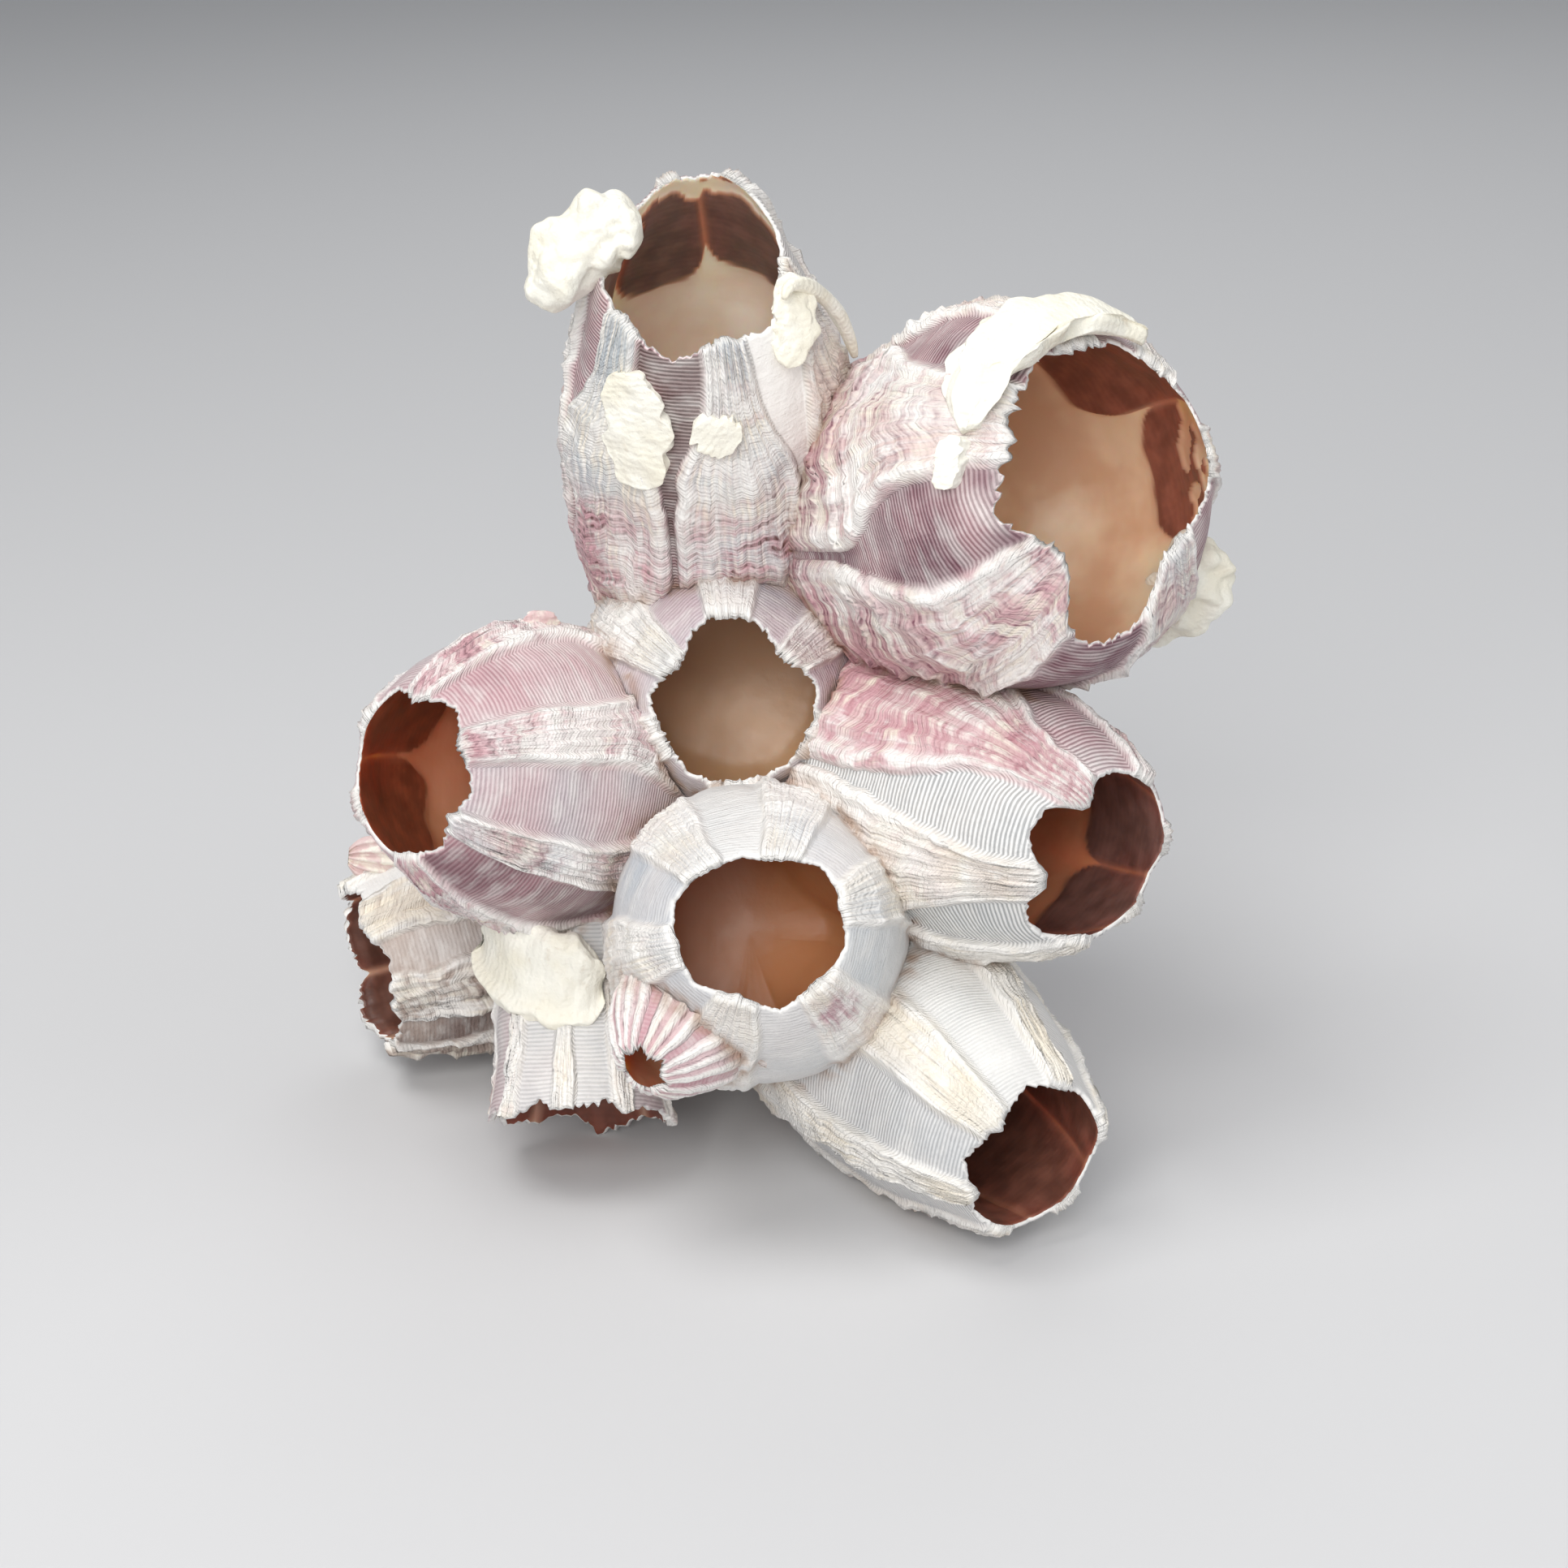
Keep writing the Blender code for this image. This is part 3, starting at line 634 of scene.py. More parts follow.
def evened(values, axis, reach, rounds):
    """Blends each value with those a few columns to its left and right."""
    for _ in range(rounds):
        beside = np.roll(values, reach, axis=axis) + np.roll(values, -reach, axis=axis)
        values = 0.5 * values + 0.25 * beside
    return values


def inner_wall(b, column, older):
    """Points and masks of the inner wall, pushed out of older shells and evened where it meets them."""
    shape = (INSIDE_ROWS, len(column))
    inner_heights = np.linspace(1, b["floor_at"], INSIDE_ROWS)
    grid = np.tile(column, INSIDE_ROWS), np.repeat(inner_heights, len(column))
    points, masks = wall_points(b, *grid, True)
    moved = (move_out(points, older, b["contact_wall"]) - points).reshape(*shape, 3)
    for _ in range(CONTACT_SMOOTHING):
        beside = np.roll(moved, 1, axis=1) + np.roll(moved, -1, axis=1)
        above = np.concatenate([moved[:1], moved[:-1]]) + np.concatenate([moved[1:], moved[-1:]])
        moved = 0.2 * moved + 0.2 * (beside + above)
    moved = evened(moved, 1, CONTACT_REACH, CONTACT_SMOOTHING)
    points = move_out(points + moved.reshape(-1, 3), older, b["contact_wall"] - CONTACT_SLACK)
    return list(points.reshape(*shape, 3)), {key: values.reshape(shape) for key, values in masks.items()}


def inner_floor(lowest, centre, down):
    """Rings of the floor, which grow even and dished towards its centre."""
    even = evened(lowest, 0, FLOOR_REACH, FLOOR_SMOOTHING)
    rings = []
    for share in FLOOR_ROWS:
        ring = even + (lowest - even) * (2 * share - 1 if share > 0.5 else 0)
        rings.append(centre + (ring - centre) * share - down * FLOOR_DEPTH * (1 - share**2))
    return rings


def paint_masks(b, points, heights, plate, across, band):
    """Where the outside is mauve, slate, cream or furrowed: by plate, by band and in soft clouds."""
    clouds = soft_noise(points, 7.0, b["seed"] + 23).reshape(band.shape)
    v = heights[:, None]
    next_band = np.where(across < 0.5, plate, (plate + 1) % PLATES)
    mauve = (np.array(b["mauve"])[plate][None, :] + b["base_mauve"] * smooth(0.6, 0.25, v)) * (1 - band)
    mauve = mauve + np.array(b["band_mauve"])[next_band][None, :] * (0.7 + 0.3 * v) * band
    mauve = np.clip(mauve * (1 + 0.5 * clouds), 0, 1)
    slate = np.array(b["blue"])[plate][None, :] * (0.35 + 0.65 * v) * (1 - band)
    slate = np.clip(
        (slate + np.array(b["band_blue"])[next_band][None, :] * band) * (1 - 0.6 * clouds), 0, 1
    )
    cream = np.clip(b["cream"] + 0.5 * clouds, 0, 1)
    furrow = np.array(b["furrows"], float)[plate][None, :] * (0.25 + 0.75 * v)
    if b["spot"]:
        at, size = b["spot"]
        away = np.linalg.norm((points - at) / size, axis=1) + 0.35 * soft_noise(points, 1.6, 61)
        away = away.reshape(band.shape)
        mauve = np.maximum(mauve, smooth(1.3, 0.5, away))
        furrow = np.maximum(furrow, 0.9 * smooth(1.2, 0.6, away))
    return dict(mauve=mauve, slate=slate, cream=cream, furrow=furrow)


def line_the_inside(mesh):
    """Gives the faces on the inside of the wall the second material."""
    lining = np.empty(len(mesh.vertices), np.float32)
    mesh.attributes["lining"].data.foreach_get("value", lining)
    corners = np.empty(len(mesh.loops), int)
    mesh.loops.foreach_get("vertex_index", corners)
    starts = np.empty(len(mesh.polygons), int)
    mesh.polygons.foreach_get("loop_start", starts)
    index = (np.minimum.reduceat(lining[corners], starts) > 0.5).astype(int)
    mesh.polygons.foreach_set("material_index", index)
    mesh.update()


def grow_shell(name, slot, outside, inside, columns=COLUMNS, outside_rows=OUTSIDE_ROWS, **own):
    """Makes one barnacle's shell in place of its plain solid, against the shells there before it."""
    b = {**PLAIN_SHELL, **own}
    older = list(grown.values())
    column = np.arange(columns) / columns * PLATES
    heights = np.linspace(0, 1, outside_rows)
    points, outer = wall_points(b, np.tile(column, outside_rows), np.repeat(heights, columns), False)
    points = move_out(points, older, -SUNK)
    outer = {key: values.reshape(outside_rows, columns) for key, values in outer.items()}
    rings = list(points.reshape(outside_rows, columns, 3))
    inner_rings, inner = inner_wall(b, column, older)
    base_centre, base_axis, _, _ = shell_axis(b, 0.0)
    _, mouth_axis, _, _ = shell_axis(b, 1.0)
    floor_centre = inner_rings[-1].mean(axis=0)
    floor = inner_floor(inner_rings[-1], floor_centre, base_axis)
    cap = [base_centre + (rings[0] - base_centre) * share for share in BASE_ROWS]
    crest = (rings[-1] * 0.55 + inner_rings[0] * 0.45) + mouth_axis * CREST_HEIGHT
    plate = outer.pop("plate")[0]
    inner.pop("plate")
    masks = {}
    for key, out in outer.items():
        lined = list(inner[key]) + [inner[key][-1]] * len(floor)
        masks[key] = [out[0]] * len(cap) + list(out) + [out[-1]] + lined
    unpainted = [np.zeros(columns)] * (INSIDE_ROWS + len(floor))
    for key, values in paint_masks(b, points, heights, plate, column % 1.0, outer["band"]).items():
        masks[key] = [values[0]] * len(cap) + list(values) + [values[-1] * 0.3] + unpainted
    poles = (base_centre, floor_centre - base_axis * FLOOR_DEPTH)
    piece = shaped_piece(name + "_shell", cap + rings + [crest] + inner_rings + floor, poles, masks)
    piece.data.materials.append(outside)
    piece.data.materials.append(inside)
    line_the_inside(piece.data)
    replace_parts(piece, name)
    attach(piece, "root")
    grown[name] = b
    shells[name] = piece


grow_shell(
    "barnacle_middle", "shell_purple",
    lime_finish("middle_outside", 0.4, 0.4, 0.3, Pink=(0.60, 0.46, 0.50)),
    inside_finish("middle_inside", (0.60, 0.38, 0.22), (0.52, 0.32, 0.18), (0.24, 0.12, 0.06)),
    base=(-6, 24, 48), mouth=(-5.4, -10, 57.2), base_r=17, belly_r=18, belly_at=0.4, mouth_r=10.4,
    shares=(59, 54, 61, 66, 64, 56), turn=-29, seed=1, teeth=(0.4, 1.5, 1, 1, 1, 1.5),
    pinches=((50, 42, 1.3), (-46, 42, 1.3)), ragged=1.0, ribs=5, rib_height=0.2, sheath=(0,) * 6,
    floor_at=0.42, bands_from=-0.3, raised_at_rim=0.5, mauve=(0.25, 0.1, 0.35, 0.3, 0.2, 0.45),
    blue=(0.1, 0.3, 0.2, 0.2, 0.2, 0.15), band_mauve=(0.4, 0.5, 0.35, 0.3, 0.3, 0.45),
    band_blue=(0.75, 0.8, 0.6, 0.5, 0.5, 0.55), base_mauve=0.3,
)

# The upper right barnacle
# The largest shell, fused to the top one. Its rim is broken and scalloped, its wall carries lobes of
# growth that overlap like shingles, and dark purple bands run between its plates.
grow_shell(
    "barnacle_upper_right", "shell_purple",
    lime_finish("upper_outside", 0.40, 0.9, 0.9, Pink=(0.57, 0.33, 0.36), Purple=(0.22, 0.08, 0.115)),
    inside_finish(
        "upper_inside", (0.88, 0.70, 0.50), (0.74, 0.48, 0.31), (0.22, 0.075, 0.05), (0.70, 0.42, 0.28)
    ),
    columns=320, outside_rows=104, base=(13, 15, 71), mouth=(36.4, -15, 84), base_r=17, belly_r=22,
    belly_at=0.7, mouth_r=15.3, shares=(72, 74, 76, 46, 45, 47), turn=20, raised_at_rim=0.52,
    bands_from=0.42, seed=2, teeth=(1, -0.5, 0, 1, 1, 1.5), notches=((1.0, 0.3, 0.6), (2.0, 0.4, 3.6)),
    pinches=((125, 30, 3.0), (205, 55, 3.4)), floor_at=0.3, bend=(0, 0, -2), ragged=1.2, ribs=6,
    rib_height=0.22, ledges=0.65, scallop=0.8, scallops=8.0, bare_rim=(0, 0, 0, 6.5, 1.0, 0),
    sheath=(0.1, 0.0, 0.0, 0.38, 0.54, 0.52), mauve=(0.55, 0.7, 0.55, 0.4, 0.3, 0.35),
    blue=(0.25, 0.35, 0.35, 0.3, 0.2, 0.2), band_mauve=(0.7, 0.95, 1.15, 0.6, 0.5, 0.6),
    band_blue=(0.3, 0.4, 0.3, 0.4, 0.3, 0.3), base_mauve=0.45, cream=0.6,
)

# The top barnacle
# An upright shell with its mouth towards the sky. Grey-blue ribbed plates with a dark striped band
# between them face the viewer, and the wall turns pink towards its base.
grow_shell(
    "barnacle_top", "shell_purple",
    lime_finish("top_outside", 0.42, 1.0, 1.3, Purple=(0.15, 0.065, 0.065), Slate=(0.45, 0.50, 0.54)),
    inside_finish(
        "top_inside", (0.92, 0.84, 0.74), (0.84, 0.73, 0.60), (0.15, 0.075, 0.06), (0.58, 0.32, 0.19)
    ),
    base=(-6.9, 17, 64), mouth=(-7.6, 0, 105.8), base_r=15.5, belly_r=16.5, belly_at=0.42, mouth_r=10.3,
    shares=(60, 58, 60, 74, 51, 57), turn=-76, bands_from=0.5, seed=3, top=(0, -1, 0), tilt=(0, -6, 0),
    teeth=(1.5, 2, 1, 2.5, 1, 1), ribs=6, rib_height=0.26, ragged=0.9,
    sheath=(0.05, 0.05, 0.3, 0.38, 0.40, 0.40), bare_rim=(0, 0, 1.0, 3.0, 3.4, 3.0),
    mauve=(0.12, 0.3, 0.3, 0.3, 0.3, 0.3), blue=(0.85, 0.8, 0.3, 0.3, 0.3, 0.4),
    band_mauve=(0.6, 1.3, 0.0, 0.1, 0.5, 0.5), band_blue=(0.5, 0.15, 0.0, 0.2, 0.4, 0.4), base_mauve=1.1,
    cream=0.45, wrinkles=0.5,
)

# The left barnacle
# It opens to the left. Its plates end in thick white ridges, with pink growth lines above and a dark
# striped band below.
grow_shell(
    "barnacle_left", "shell_purple",
    lime_finish("left_outside", 0.42, 0.6, 0.5, Purple=(0.25, 0.115, 0.14)),
    inside_finish(
        "left_inside", (0.78, 0.42, 0.25), (0.68, 0.34, 0.18), (0.26, 0.075, 0.035), (0.66, 0.36, 0.20)
    ),
    base=(-11, 16, 36), mouth=(-41.3, -15, 51.9), base_r=13, belly_r=17.8, belly_at=0.58, mouth_r=10.6,
    shares=(62, 62, 66, 64, 45, 61), turn=-29, seed=4, teeth=(2, 1, 1, 1, 1.5, 1.5), ribs=5,
    sheath=(0.2, 0.36, 0.34, 0.3, 0.1, 0.1), mauve=(1.0, 0.6, 0.6, 1.0, 0.5, 0.95),
    blue=(0.0, 0.2, 0.3, 0.45, 0.35, 0.1), wrinkles=0.5, band_mauve=(0.45, 0.4, 0.4, 0.5, 0.95, 0.35),
    band_blue=(0.2, 0.3, 0.3, 0.3, 0.3, 0.6), base_mauve=0.45, cream=0.35,
)

# The right barnacle
# It opens to the right. Pink ribs run together at the tip of its upper plate, and two pale bands with
# fine upright stripes lie below.
grow_shell(
    "barnacle_right", "shell_white",
    lime_finish("right_outside", 0.50, 1.0, 0.1, Purple=(0.42, 0.17, 0.20)),
    inside_finish(
        "right_inside", (0.74, 0.38, 0.21), (0.62, 0.30, 0.16), (0.17, 0.085, 0.07), (0.52, 0.27, 0.17)
    ),
    base=(1, 11, 42), mouth=(34.4, -27, 44.3), base_r=13, belly_r=16.4, belly_at=0.57, mouth_r=10.3,
    shares=(79, 60, 63, 50, 55, 53), turn=-17, seed=5, teeth=(1.0, 0.6, 1, 1, 2, 1),
    pinches=((25, 24, 2.0),), notches=((1.0, 0.4, 1.4), (2.0, 0.4, 2.2)), ribs=7, rib_height=0.22,
    bands_from=0.52, sheath=(0.05, 0.05, 0.24, 0.28, 0.30, 0.26), furrows=(0.9, 0, 0, 0, 0, 0.5),
    mauve=(0.75, 0.25, 0.12, 0.2, 0.3, 0.6), blue=(0.0, 0.15, 0.15, 0.1, 0.1, 0.1),
    band_mauve=(0.5, 0.05, 0.05, 0.2, 0.3, 0.5), band_blue=(0.2, 0.35, 0.35, 0.3, 0.2, 0.2),
    base_mauve=0.35, cream=0.4,
)

# The lower right barnacle
# A long, pale shell that points down to the right and stands on the table with its belly.
grow_shell(
    "barnacle_lower_right", "shell_white", lime_finish("lower_outside", 0.44, 0.75, 0.3),
    inside_finish(
        "lower_inside", (0.62, 0.32, 0.19), (0.50, 0.24, 0.14), (0.20, 0.08, 0.055), (0.50, 0.26, 0.17)
    ),
    base=(-2, 13, 18), mouth=(25.2, -38, 13.2), base_r=13, belly_r=15.8, belly_at=0.5, mouth_r=9.4,
    shares=(52, 76, 50, 57, 60, 65), turn=-50, seed=6, teeth=(1, 2, 2, 1, 1, 1.5), bend=(0, 0, -0.2),
    ribs=4, mauve=(0.08, 0.1, 0.12, 0.25, 0.2, 0.1), blue=(0.1, 0.1, 0.2, 0.2, 0.1, 0.1),
    sheath=(0.3, 0.1, 0.1, 0.36, 0.42, 0.4), band_mauve=(0.05, 0.02, 0.08, 0.1, 0.1, 0.1),
    band_blue=(0.1, 0.15, 0.4, 0.35, 0.2, 0.2), base_mauve=0.15, cream=0.6,
)

# The lower left barnacle
# A narrow shell that flares towards its mouth and stands on the teeth of its rim.
grow_shell(
    "barnacle_lower_left", "shell_white", lime_finish("flared_outside", 0.5, 0.6, 0.1),
    inside_finish("flared_inside", (0.50, 0.30, 0.22), (0.36, 0.18, 0.11), (0.16, 0.05, 0.03)),
    columns=252, outside_rows=80, base=(-25.3, 3, 34), mouth=(-25.6, -14.5, 7.5), base_r=8.3, belly_r=8.5,
    belly_at=0.3, mouth_r=11.2, shares=(37, 36, 37, 85, 85, 80), turn=-50, seed=7, top=(0, -1, 0),
    raised_at_rim=0.34, bands_from=-0.3, step=0.6, wander=0.34, teeth=(0.8, 0.4, 1.0, 1.5, 1.5, 1.5),
    ribs=2, rib_height=0.12, ragged=1.3,
    notches=((4.3, 0.2, 1.5), (3.5, 0.2, 1.5), (0.75, 0.16, 0.9), (1.9, 0.1, 0.8)),
    mauve=(0.2, 0.12, 0.2, 0.4, 0.4, 0.4), blue=(0.2, 0.25, 0.25, 0.2, 0.2, 0.2), wrinkles=0.6,
    band_mauve=(0.3, 0.08, 0.12, 0.3, 0.3, 0.4), band_blue=(0.3, 0.35, 0.35, 0.3, 0.3, 0.3),
    base_mauve=0.1, cream=0.35,
)

# The far left barnacle
# A small, deeply grooved shell, half hidden behind the left one. Its lower plates carry painted shade:
# strong brownish mauve that darkens its underside.
grow_shell(
    "barnacle_far_left", "shell_white",
    lime_finish("far_outside", 0.5, 0.25, 0.2, Pink=(0.46, 0.36, 0.31), Purple=(0.22, 0.15, 0.13)),
    inside_finish("far_inside", (0.40, 0.24, 0.16), (0.26, 0.13, 0.09), (0.12, 0.05, 0.035)), columns=252,
    outside_rows=80, base=(-26, 22, 17), mouth=(-51.5, 12, 15), base_r=12, belly_r=13, belly_at=0.5,
    mouth_r=11, shares=(60,) * 6, turn=0, seed=8, raised_at_rim=0.6, bands_from=-0.2,
    teeth=(2, 1, 2, 1.5, 1, 2), ragged=1.3, ribs=3, rib_height=0.45, wrinkles=0.7, wander=0.3, step=0.9,
    # The high mauve on the lower plates, with the brownish Pink and Purple, is painted shade under the
    # shell
    mauve=(0.0, 0.5, 0.9, 1.0, 0.95, 0.3), blue=(0.1, 0.2, 0.3, 0.3, 0.3, 0.2),
    band_mauve=(0.05, 0.3, 0.7, 0.9, 0.9, 0.5), band_blue=(0.2, 0.2, 0.3, 0.3, 0.3, 0.3), base_mauve=0.1,
    cream=0.6,
)

# The front barnacle
# It faces the viewer with a round mouth. Its rim is smooth and grey-white, as its plates wore down.
grow_shell(
    "barnacle_front", "shell_white",
    lime_finish("front_outside", 0.4, 0.3, 0.3, Pink=(0.50, 0.30, 0.34), Purple=(0.15, 0.06, 0.09)),
    inside_finish("front_inside", (0.54, 0.25, 0.115), (0.50, 0.225, 0.10), (0.30, 0.12, 0.05)),
    base=(-3.8, 8, 19), mouth=(-3.2, -35, 40.1), base_r=14, belly_r=17.3, belly_at=0.62, mouth_r=10.6,
    shares=(59, 57, 65, 65, 56, 58), turn=11, seed=9, teeth=(1, 1, 1.5, 1.5, 1, 0.5), ragged=0.35, ribs=4,
    mauve=(0.15, 0.2, 0.15, 0.25, 0.1, 0.12), blue=(0.3, 0.3, 0.2, 0.15, 0.35, 0.35), sheath=(0,) * 6,
    pinches=((0, 70, 1.5), (180, 70, 1.5)), floor_at=0.55, contact_wall=2.7, bands_from=-0.2,
    raised_at_rim=0.5, wrinkles=0.28, rib_height=0.03, step=0.9, wander=0.25,
    spot=((4.8, -35.0, 31.0), (2.9, 5.0, 3.2)), band_mauve=(0.02, 0.1, 0.1, 0.1, 0.05, 0.1),
    band_blue=(0.25, 0.75, 0.6, 0.35, 0.5, 0.4), base_mauve=0.15, cream=0.3,
)

# The small barnacle
# A young shell that grew on the front one, with round white ribs, pink furrows and a narrow mouth.
grow_shell(
    "barnacle_small", "shell_white", lime_finish("small_outside", 0.4, 0.25, 0.1),
    inside_finish("small_inside", (0.66, 0.36, 0.22), (0.56, 0.28, 0.16), (0.16, 0.06, 0.04)),
    columns=216, outside_rows=60, base=(-9.3, -25, 28), mouth=(-16.1, -37, 25.4), base_r=8.8, belly_r=8.6,
    belly_at=0.3, mouth_r=3.8, shares=(60,) * 6, turn=0, seed=10, rim_wall=0.8, base_wall=2.5,
    contact_wall=0.4, floor_at=0.4, step=0.5, lumps=0.2, raised_at_rim=0.8, bands_from=0, wander=0.1,
    ribs=3, rib_height=0.36, ledges=0.1, wrinkles=0.1, ragged=0.5, scallop=0.2, furrows=(0.9,) * 6,
    sheath=(0,) * 6, mauve=(0.2,) * 6, blue=(0.0,) * 6, band_mauve=(0.6,) * 6, band_blue=(0.1,) * 6,
    base_mauve=0.1, cream=0.2,
)

# The crusts of lime
# Other sea animals left cream lime on the shells: sheets that follow a wall or a rim, lumps, and beside
# them lies a broken piece of a ribbed plate. Each is one brittle, matt crust that grew fast to its shell.
CRUST_ROWS = 84
CRUST_COLUMNS = 112
CRUST_SUNK = 0.8
CRUST_RIPPLE = 0.85
CRUST_RELIEF = 0.00016

crust_finish = bpy.data.materials.new("lime_crust")
crust_finish.use_nodes = True
t = crust_finish.node_tree
big = cloud(t, 160, 3)
middle = cloud(t, 620, 4, 0.5)
fine = cloud(t, 2400, 3)
ripples = waves(t, mask_of(t, "along"), CRUST_RIPPLE, times(t, middle, 1.2))
colour = blend(t, ramp(t, big, 0.38, 0.68), (0.94, 0.92, 0.83, 1), (0.88, 0.84, 0.71, 1))
colour = blend(t, times(t, ramp(t, middle, 0.58, 0.76), 0.35), colour, (0.60, 0.50, 0.38, 1))
colour = blend(t, times(t, mask_of(t, "mauve"), ramp(t, middle, 0.3, 0.6)), colour, PINK)
height = scaled(t, middle, 1.0, times(t, ripples, 0.22))
height = scaled(t, fine, 0.8, height)
dress(crust_finish, colour, scaled(t, fine, 0.3, 0.5), height, CRUST_RELIEF)


def lime_body(
    name, line, out, width, thickness, lumps, seed, on=None, rise=1.0, ragged=0.25, ribs=0, dish=0.0,
    mauve=0.0
):
    """A closed body of lime along a line: a free lump, or a sheet pressed onto the shell named in on."""
    way_on = np.gradient(line, axis=0)
    way_on /= np.linalg.norm(way_on, axis=1)[:, None]
    across = np.cross(way_on, np.asarray(out, float))
    across /= np.linalg.norm(across, axis=1)[:, None]
    up = np.cross(across, way_on)
    count = len(line)
    place = np.repeat(np.linspace(0, 1, count) * 0.96 + 0.02, CRUST_COLUMNS)
    turn = np.tile(np.linspace(0, 2 * math.pi, CRUST_COLUMNS, endpoint=False), count)
    side = np.cos(turn)
    over = np.sin(turn)
    bulge = (1 - np.abs(2 * place - 1) ** 3) ** 0.5
    margin = soft_noise(np.stack([side * 1.6, over * 1.6, place * 7], axis=1), 1.0, seed)
    margin += 0.3 * soft_noise(np.stack([side * 3, over * 3, place * 13], axis=1), 1.0, seed + 1)
    wide = width * bulge * side * (1 + ragged * margin)
    thick = thickness * bulge * np.sign(over) * np.abs(over) ** 0.7
    thick = thick * (1 + ragged * margin)
    upper = np.clip(over, 0, 1)
    hem = np.exp(-(((side - 0.72) / 0.16) ** 2))
    thick = thick - dish * upper * (1 - side**2) + 1.1 * dish * hem * upper
    thick = thick + 0.35 * (ribs > 0) * np.cos(side * math.pi * ribs) * upper
    rows = np.repeat(np.arange(count), CRUST_COLUMNS)
    points = line[rows] + across[rows] * wide[:, None] + up[rows] * thick[:, None]
    outward = across[rows] * side[:, None] + up[rows] * over[:, None]
    uneven = lumps * (soft_noise(points, 4.6, seed + 2) + 0.16 * soft_noise(points, 1.6, seed + 3))
    points = points + outward * uneven[:, None]
    if on:
        depth, way, _ = out_of_shell(grown[on], points)
        relief = 0.35 * soft_noise(points, 3.0, seed + 4) + 0.10 * soft_noise(points, 1.0, seed + 5)
        target = -CRUST_SUNK + (rise + relief + CRUST_SUNK) * smooth(-0.3, 0.35, over)
        points = points + way * (target - depth)[:, None]
    rings = list(points.reshape(count, CRUST_COLUMNS, 3))
    run = np.cumsum(np.linalg.norm(np.diff(line, axis=0, prepend=line[:1]), axis=1))
    masks = dict(
        along=[np.full(CRUST_COLUMNS, r) for r in run],
        mauve=[np.full(CRUST_COLUMNS, float(mauve))] * count
    )
    piece = shaped_piece(name, rings, (rings[0].mean(axis=0), rings[-1].mean(axis=0)), masks)
    piece.data.materials.append(crust_finish)
    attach(piece, "root")
    return piece


def bent_line(start, middle, end):
    start, middle, end = (np.array(p, float) for p in (start, middle, end))
    bow = 2 * middle - (start + end) / 2
    t = np.linspace(0.02, 0.98, CRUST_ROWS)[:, None]
    return start * (1 - t) ** 2 + bow * 2 * t * (1 - t) + end * t**2


CRUSTS = dict(
    crust_on_top_shell=dict(
        line=bent_line((-13, 0, 109.5), (-19.5, -0.5, 107.2), (-24.8, -1, 100.6)), width=3.9,
        thickness=4.2, out=(-0.3, -1, 0.3), lumps=1.5, seed=31, ragged=0.22,
    ),
    flake_on_top_shell=dict(
        line=bent_line((1.8, -4.0, 104.2), (3.2, -5, 99), (1.4, -6.8, 94.6)), width=2.4, thickness=0.7,
        out=(0.4, -0.8, 0.3), lumps=0.2, seed=37, ragged=0.3,
    ),
    crust_on_rim=dict(
        line=bent_line((24.2, -19.5, 88.5), (28, -11.5, 98.4), (41.5, -4.5, 97.3)), width=5.2,
        thickness=2.4, out=(0.1, -0.4, 0.9), lumps=0.9, seed=32, on="barnacle_upper_right", rise=0.85,
        ragged=0.5,
    ),
    crust_behind_rim=dict(
        line=bent_line((46.3, -1.5, 70.5), (47.8, 1.5, 65), (41.3, 2.5, 58)), width=3.6, thickness=3.4,
        out=(0.6, 0.5, -0.4), lumps=1.6, seed=33, ragged=0.25,
    ),
    crust_on_plate=dict(
        line=bent_line((-15.6, -7.2, 95), (-15, -7.4, 88.5), (-14.8, -5.8, 81.5)), width=4.3, thickness=2,
        out=(-0.4, -1, 0.1), lumps=0.3, seed=34, on="barnacle_top", rise=1.3, ragged=0.35,
    ),
    crust_under_left_shell=dict(
        line=bent_line((-36.5, -6.5, 27), (-28.5, -14, 25.3), (-21.5, -14.3, 24)), width=6, thickness=2.6,
        out=(0, -1, 0), lumps=0.15, seed=35, dish=1.2, ragged=0.16,
    ),
    plate_fragment=dict(
        line=bent_line((-40, 17, 25), (-47, 16.5, 27), (-54.5, 15.5, 28.5)), width=3.4, thickness=1.4,
        out=(0, -1, 0.2), lumps=0.3, seed=36, ribs=5, ragged=0.1, mauve=0.6,
    ),
)
for name, values in CRUSTS.items():
    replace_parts(lime_body(name + "_lime", **values), name)

# Two thin patches of white lime lie on the large shells
lime_body(
    "patch_on_top_shell", bent_line((-8, -9.2, 90), (-6, -8.9, 88.2), (-3.8, -9, 86.6)), (0, -1, 0), 2.2,
    1, 0.3, 41, on="barnacle_top", rise=1.5, ragged=0.4,
)
lime_body(
    "patch_on_upper_right_shell", bent_line((19.0, -21, 89.9), (20.3, -21.2, 87.3), (20.5, -21.5, 84.6)),
    (0, -1, 0), 1.7, 1, 0.3, 42, on="barnacle_upper_right", rise=1.6, ragged=0.4,
)

# The broken tip on the left barnacle
# A thin flake of an old plate, of the same lime, that still stands out of the left shell's upper wall.
TIP_ROWS = 40
TIP_AT = 2.0  # degrees round the shell


def on_shell(name, degrees, s, lift):
    """Points that stand the given lift off a shell's plain form."""
    b = grown[name]
    centre, _, up, side = shell_axis(b, s)
    turn = np.radians(degrees)
    outward = up * np.cos(turn)[:, None] + side * np.sin(turn)[:, None]
    return centre + outward * (shell_radius(b, s) + lift)[:, None]


tip_line = on_shell(
    "barnacle_left", np.full(TIP_ROWS, TIP_AT), np.linspace(0.66, 0.67, TIP_ROWS),
    np.linspace(-1.5, 2.0, TIP_ROWS)
)
lime_body("broken_tip_on_left_shell", tip_line, (0.5, -1, 0.2), 2.2, 0.5, 0.1, 44, ragged=0.3, mauve=0.7)

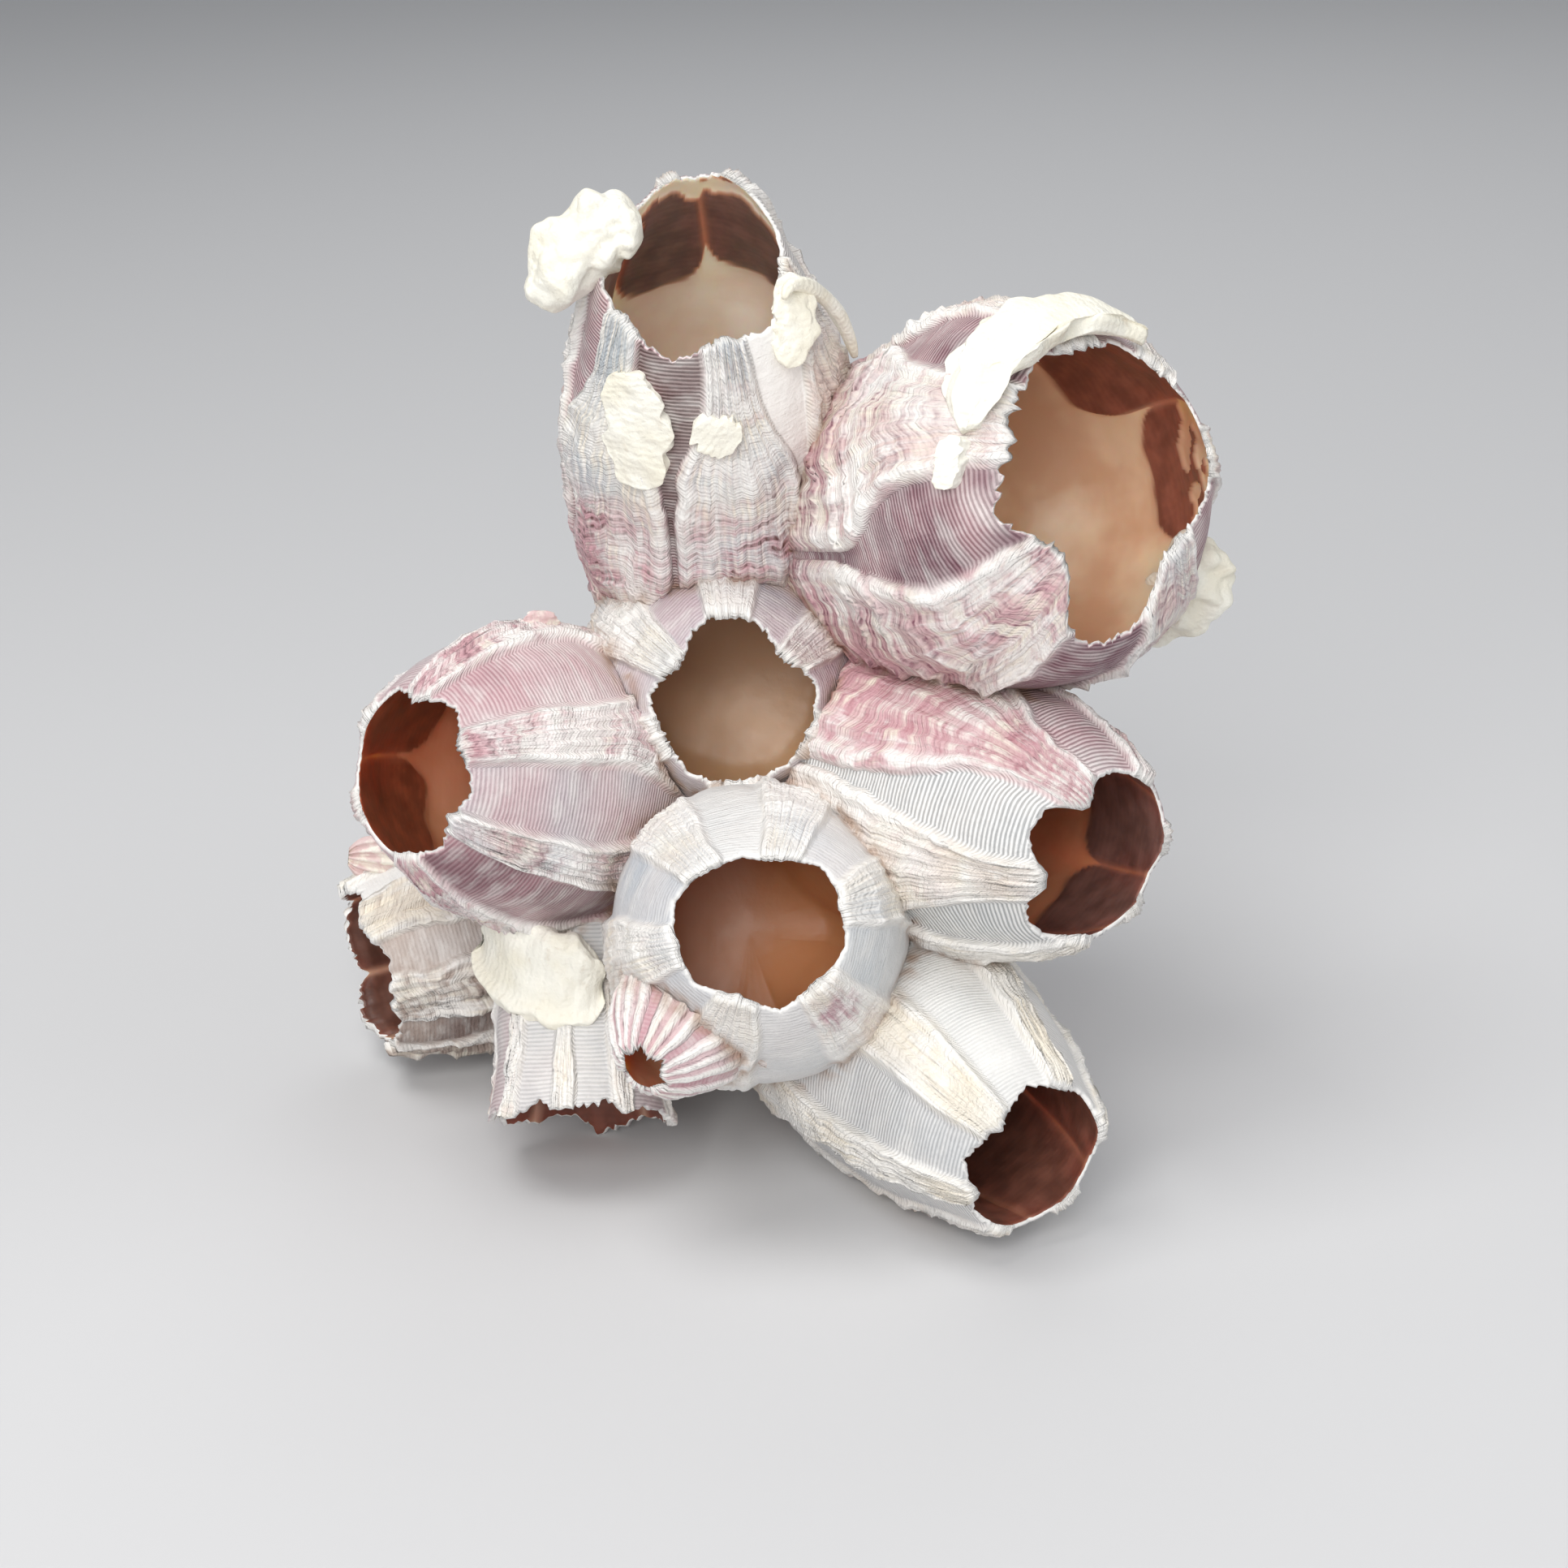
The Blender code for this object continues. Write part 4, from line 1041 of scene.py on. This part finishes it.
# The worm tube
# A sea worm's narrow lime tube, cemented to the right of the top shell along a bent line.
TUBE_RADIUS = 0.85
TUBE_LIFT = 1.7
TUBE_DEGREES = (50, 60, 74, 84, 90, 92)
TUBE_HEIGHTS = (0.985, 0.975, 0.95, 0.86, 0.74, 0.66)  # shares of the shell's height

stops = np.linspace(0, 1, len(TUBE_DEGREES))
places = np.linspace(0, 1, CRUST_ROWS)
curves = [np.polyfit(stops, values, 3) for values in (TUBE_DEGREES, TUBE_HEIGHTS)]
degrees, heights = (np.polyval(curve, places) for curve in curves)
tube_line = on_shell("barnacle_top", degrees, heights, TUBE_LIFT)
lime_body("worm_tube", tube_line, (0.5, -1, 0.2), TUBE_RADIUS, TUBE_RADIUS, 0.12, 43, ragged=0.08)

# The base plates
# Thick discs of lime with which the first shells held on to their rock. They were broken off it at the
# back, and show growth rings round four centres.
RING_CENTRES = ((-3, 42, 46), (-4, 41, 16), (7, 41, 69), (-21, 40, 18))
BASE_SMOOTHING = 4
BASE_RELIEF = 0.0002
bm = bmesh.new()
bm.from_mesh(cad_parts["base_plates"].data)
bmesh.ops.remove_doubles(bm, verts=bm.verts, dist=WELD)
for longest, cuts in ((2.5, 2), (1.2, 1)):
    long_edges = [e for e in bm.edges if e.calc_length() > longest * MM]
    bmesh.ops.subdivide_edges(bm, edges=long_edges, cuts=cuts, use_grid_fill=True)
bmesh.ops.triangulate(bm, faces=bm.faces)
for _ in range(BASE_SMOOTHING):
    bmesh.ops.smooth_vert(
        bm, verts=bm.verts, factor=0.5, use_axis_x=True, use_axis_y=True, use_axis_z=True
    )
bm.normal_update()
places = np.array([v.co for v in bm.verts]) / MM
pitted = -0.35 * np.abs(soft_noise(places, 3.0, 51)) + 0.15 * soft_noise(places, 1.1, 52)
pitted = pitted + 0.8 * soft_noise(places, 7.0, 53)
for vert, move in zip(bm.verts, pitted):
    vert.co += vert.normal * (move * MM)
    vert.co.z = max(vert.co.z, 0)
base_mesh = bpy.data.meshes.new("base_plates_lime")
bm.to_mesh(base_mesh)
bm.free()
base_mesh.shade_smooth()
base_mesh.set_sharp_from_angle(angle=math.radians(50))
base_piece = bpy.data.objects.new("base_plates_lime", base_mesh)
scene.collection.objects.link(base_piece)

base_finish = bpy.data.materials.new("base_plates")
base_finish.use_nodes = True
t = base_finish.node_tree
place = wire(t, "ShaderNodeTexCoord", {}).outputs["Object"]
nearest = 1.0
for centre in RING_CENTRES:
    at = tuple((np.array(centre) + CLUSTER_SHIFT) * MM)
    away = wire(t, "ShaderNodeVectorMath", {0: place, 1: at}, operation="DISTANCE").outputs["Value"]
    nearest = maths(t, "MINIMUM", away, nearest)
nearest = times(t, nearest, 1000)
big = cloud(t, 110, 3)
middle = cloud(t, 500, 4, 0.5)
fine = cloud(t, 2200, 3)
ring_lines = waves(t, nearest, 1.7, times(t, big, 6.0))
thin_lines = waves(t, nearest, 0.6, times(t, middle, 1.5))
colour = blend(t, ramp(t, big, 0.35, 0.65), WHITE, (0.82, 0.72, 0.58, 1))
colour = blend(t, times(t, ring_lines, 0.35), colour, (0.70, 0.52, 0.46, 1))
colour = blend(t, times(t, ramp(t, middle, 0.55, 0.75), 0.5), colour, STAIN)
height = scaled(t, thin_lines, 0.5, times(t, ring_lines, 0.9))
height = scaled(t, middle, 2.2, height)
height = scaled(t, fine, 0.9, height)
dress(base_finish, colour, scaled(t, fine, 0.3, 0.5), height, BASE_RELIEF)
base_mesh.materials.append(base_finish)
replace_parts(base_piece, "base_plates")
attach(base_piece, "root")

# The seams between the shells
# Where two shells grew together, the furrow between them is painted darker brown: partly the sand and
# brown growth that settled there, partly painted shade in the furrow. Each shell gets a mask of how close
# its wall comes to the others.
SEAM_WIDTH = 1.3
FAR_OFF = 99.0
for name, piece in shells.items():
    places = np.empty(len(piece.data.vertices) * 3)
    piece.data.vertices.foreach_get("co", places)
    places = places.reshape(-1, 3) / MM - CLUSTER_SHIFT
    closest = np.full(len(places), FAR_OFF)
    for other_name, other in grown.items():
        if other_name != name:
            away, _, height_on = out_of_shell(other, places)
            beside = (height_on > 0) & (height_on < 1)
            closest = np.where(beside, np.minimum(closest, np.abs(away)), closest)
    layer = piece.data.attributes.new("seam", "FLOAT", "POINT")
    layer.data.foreach_set("value", np.exp(-((closest / SEAM_WIDTH) ** 2)).astype(np.float32))
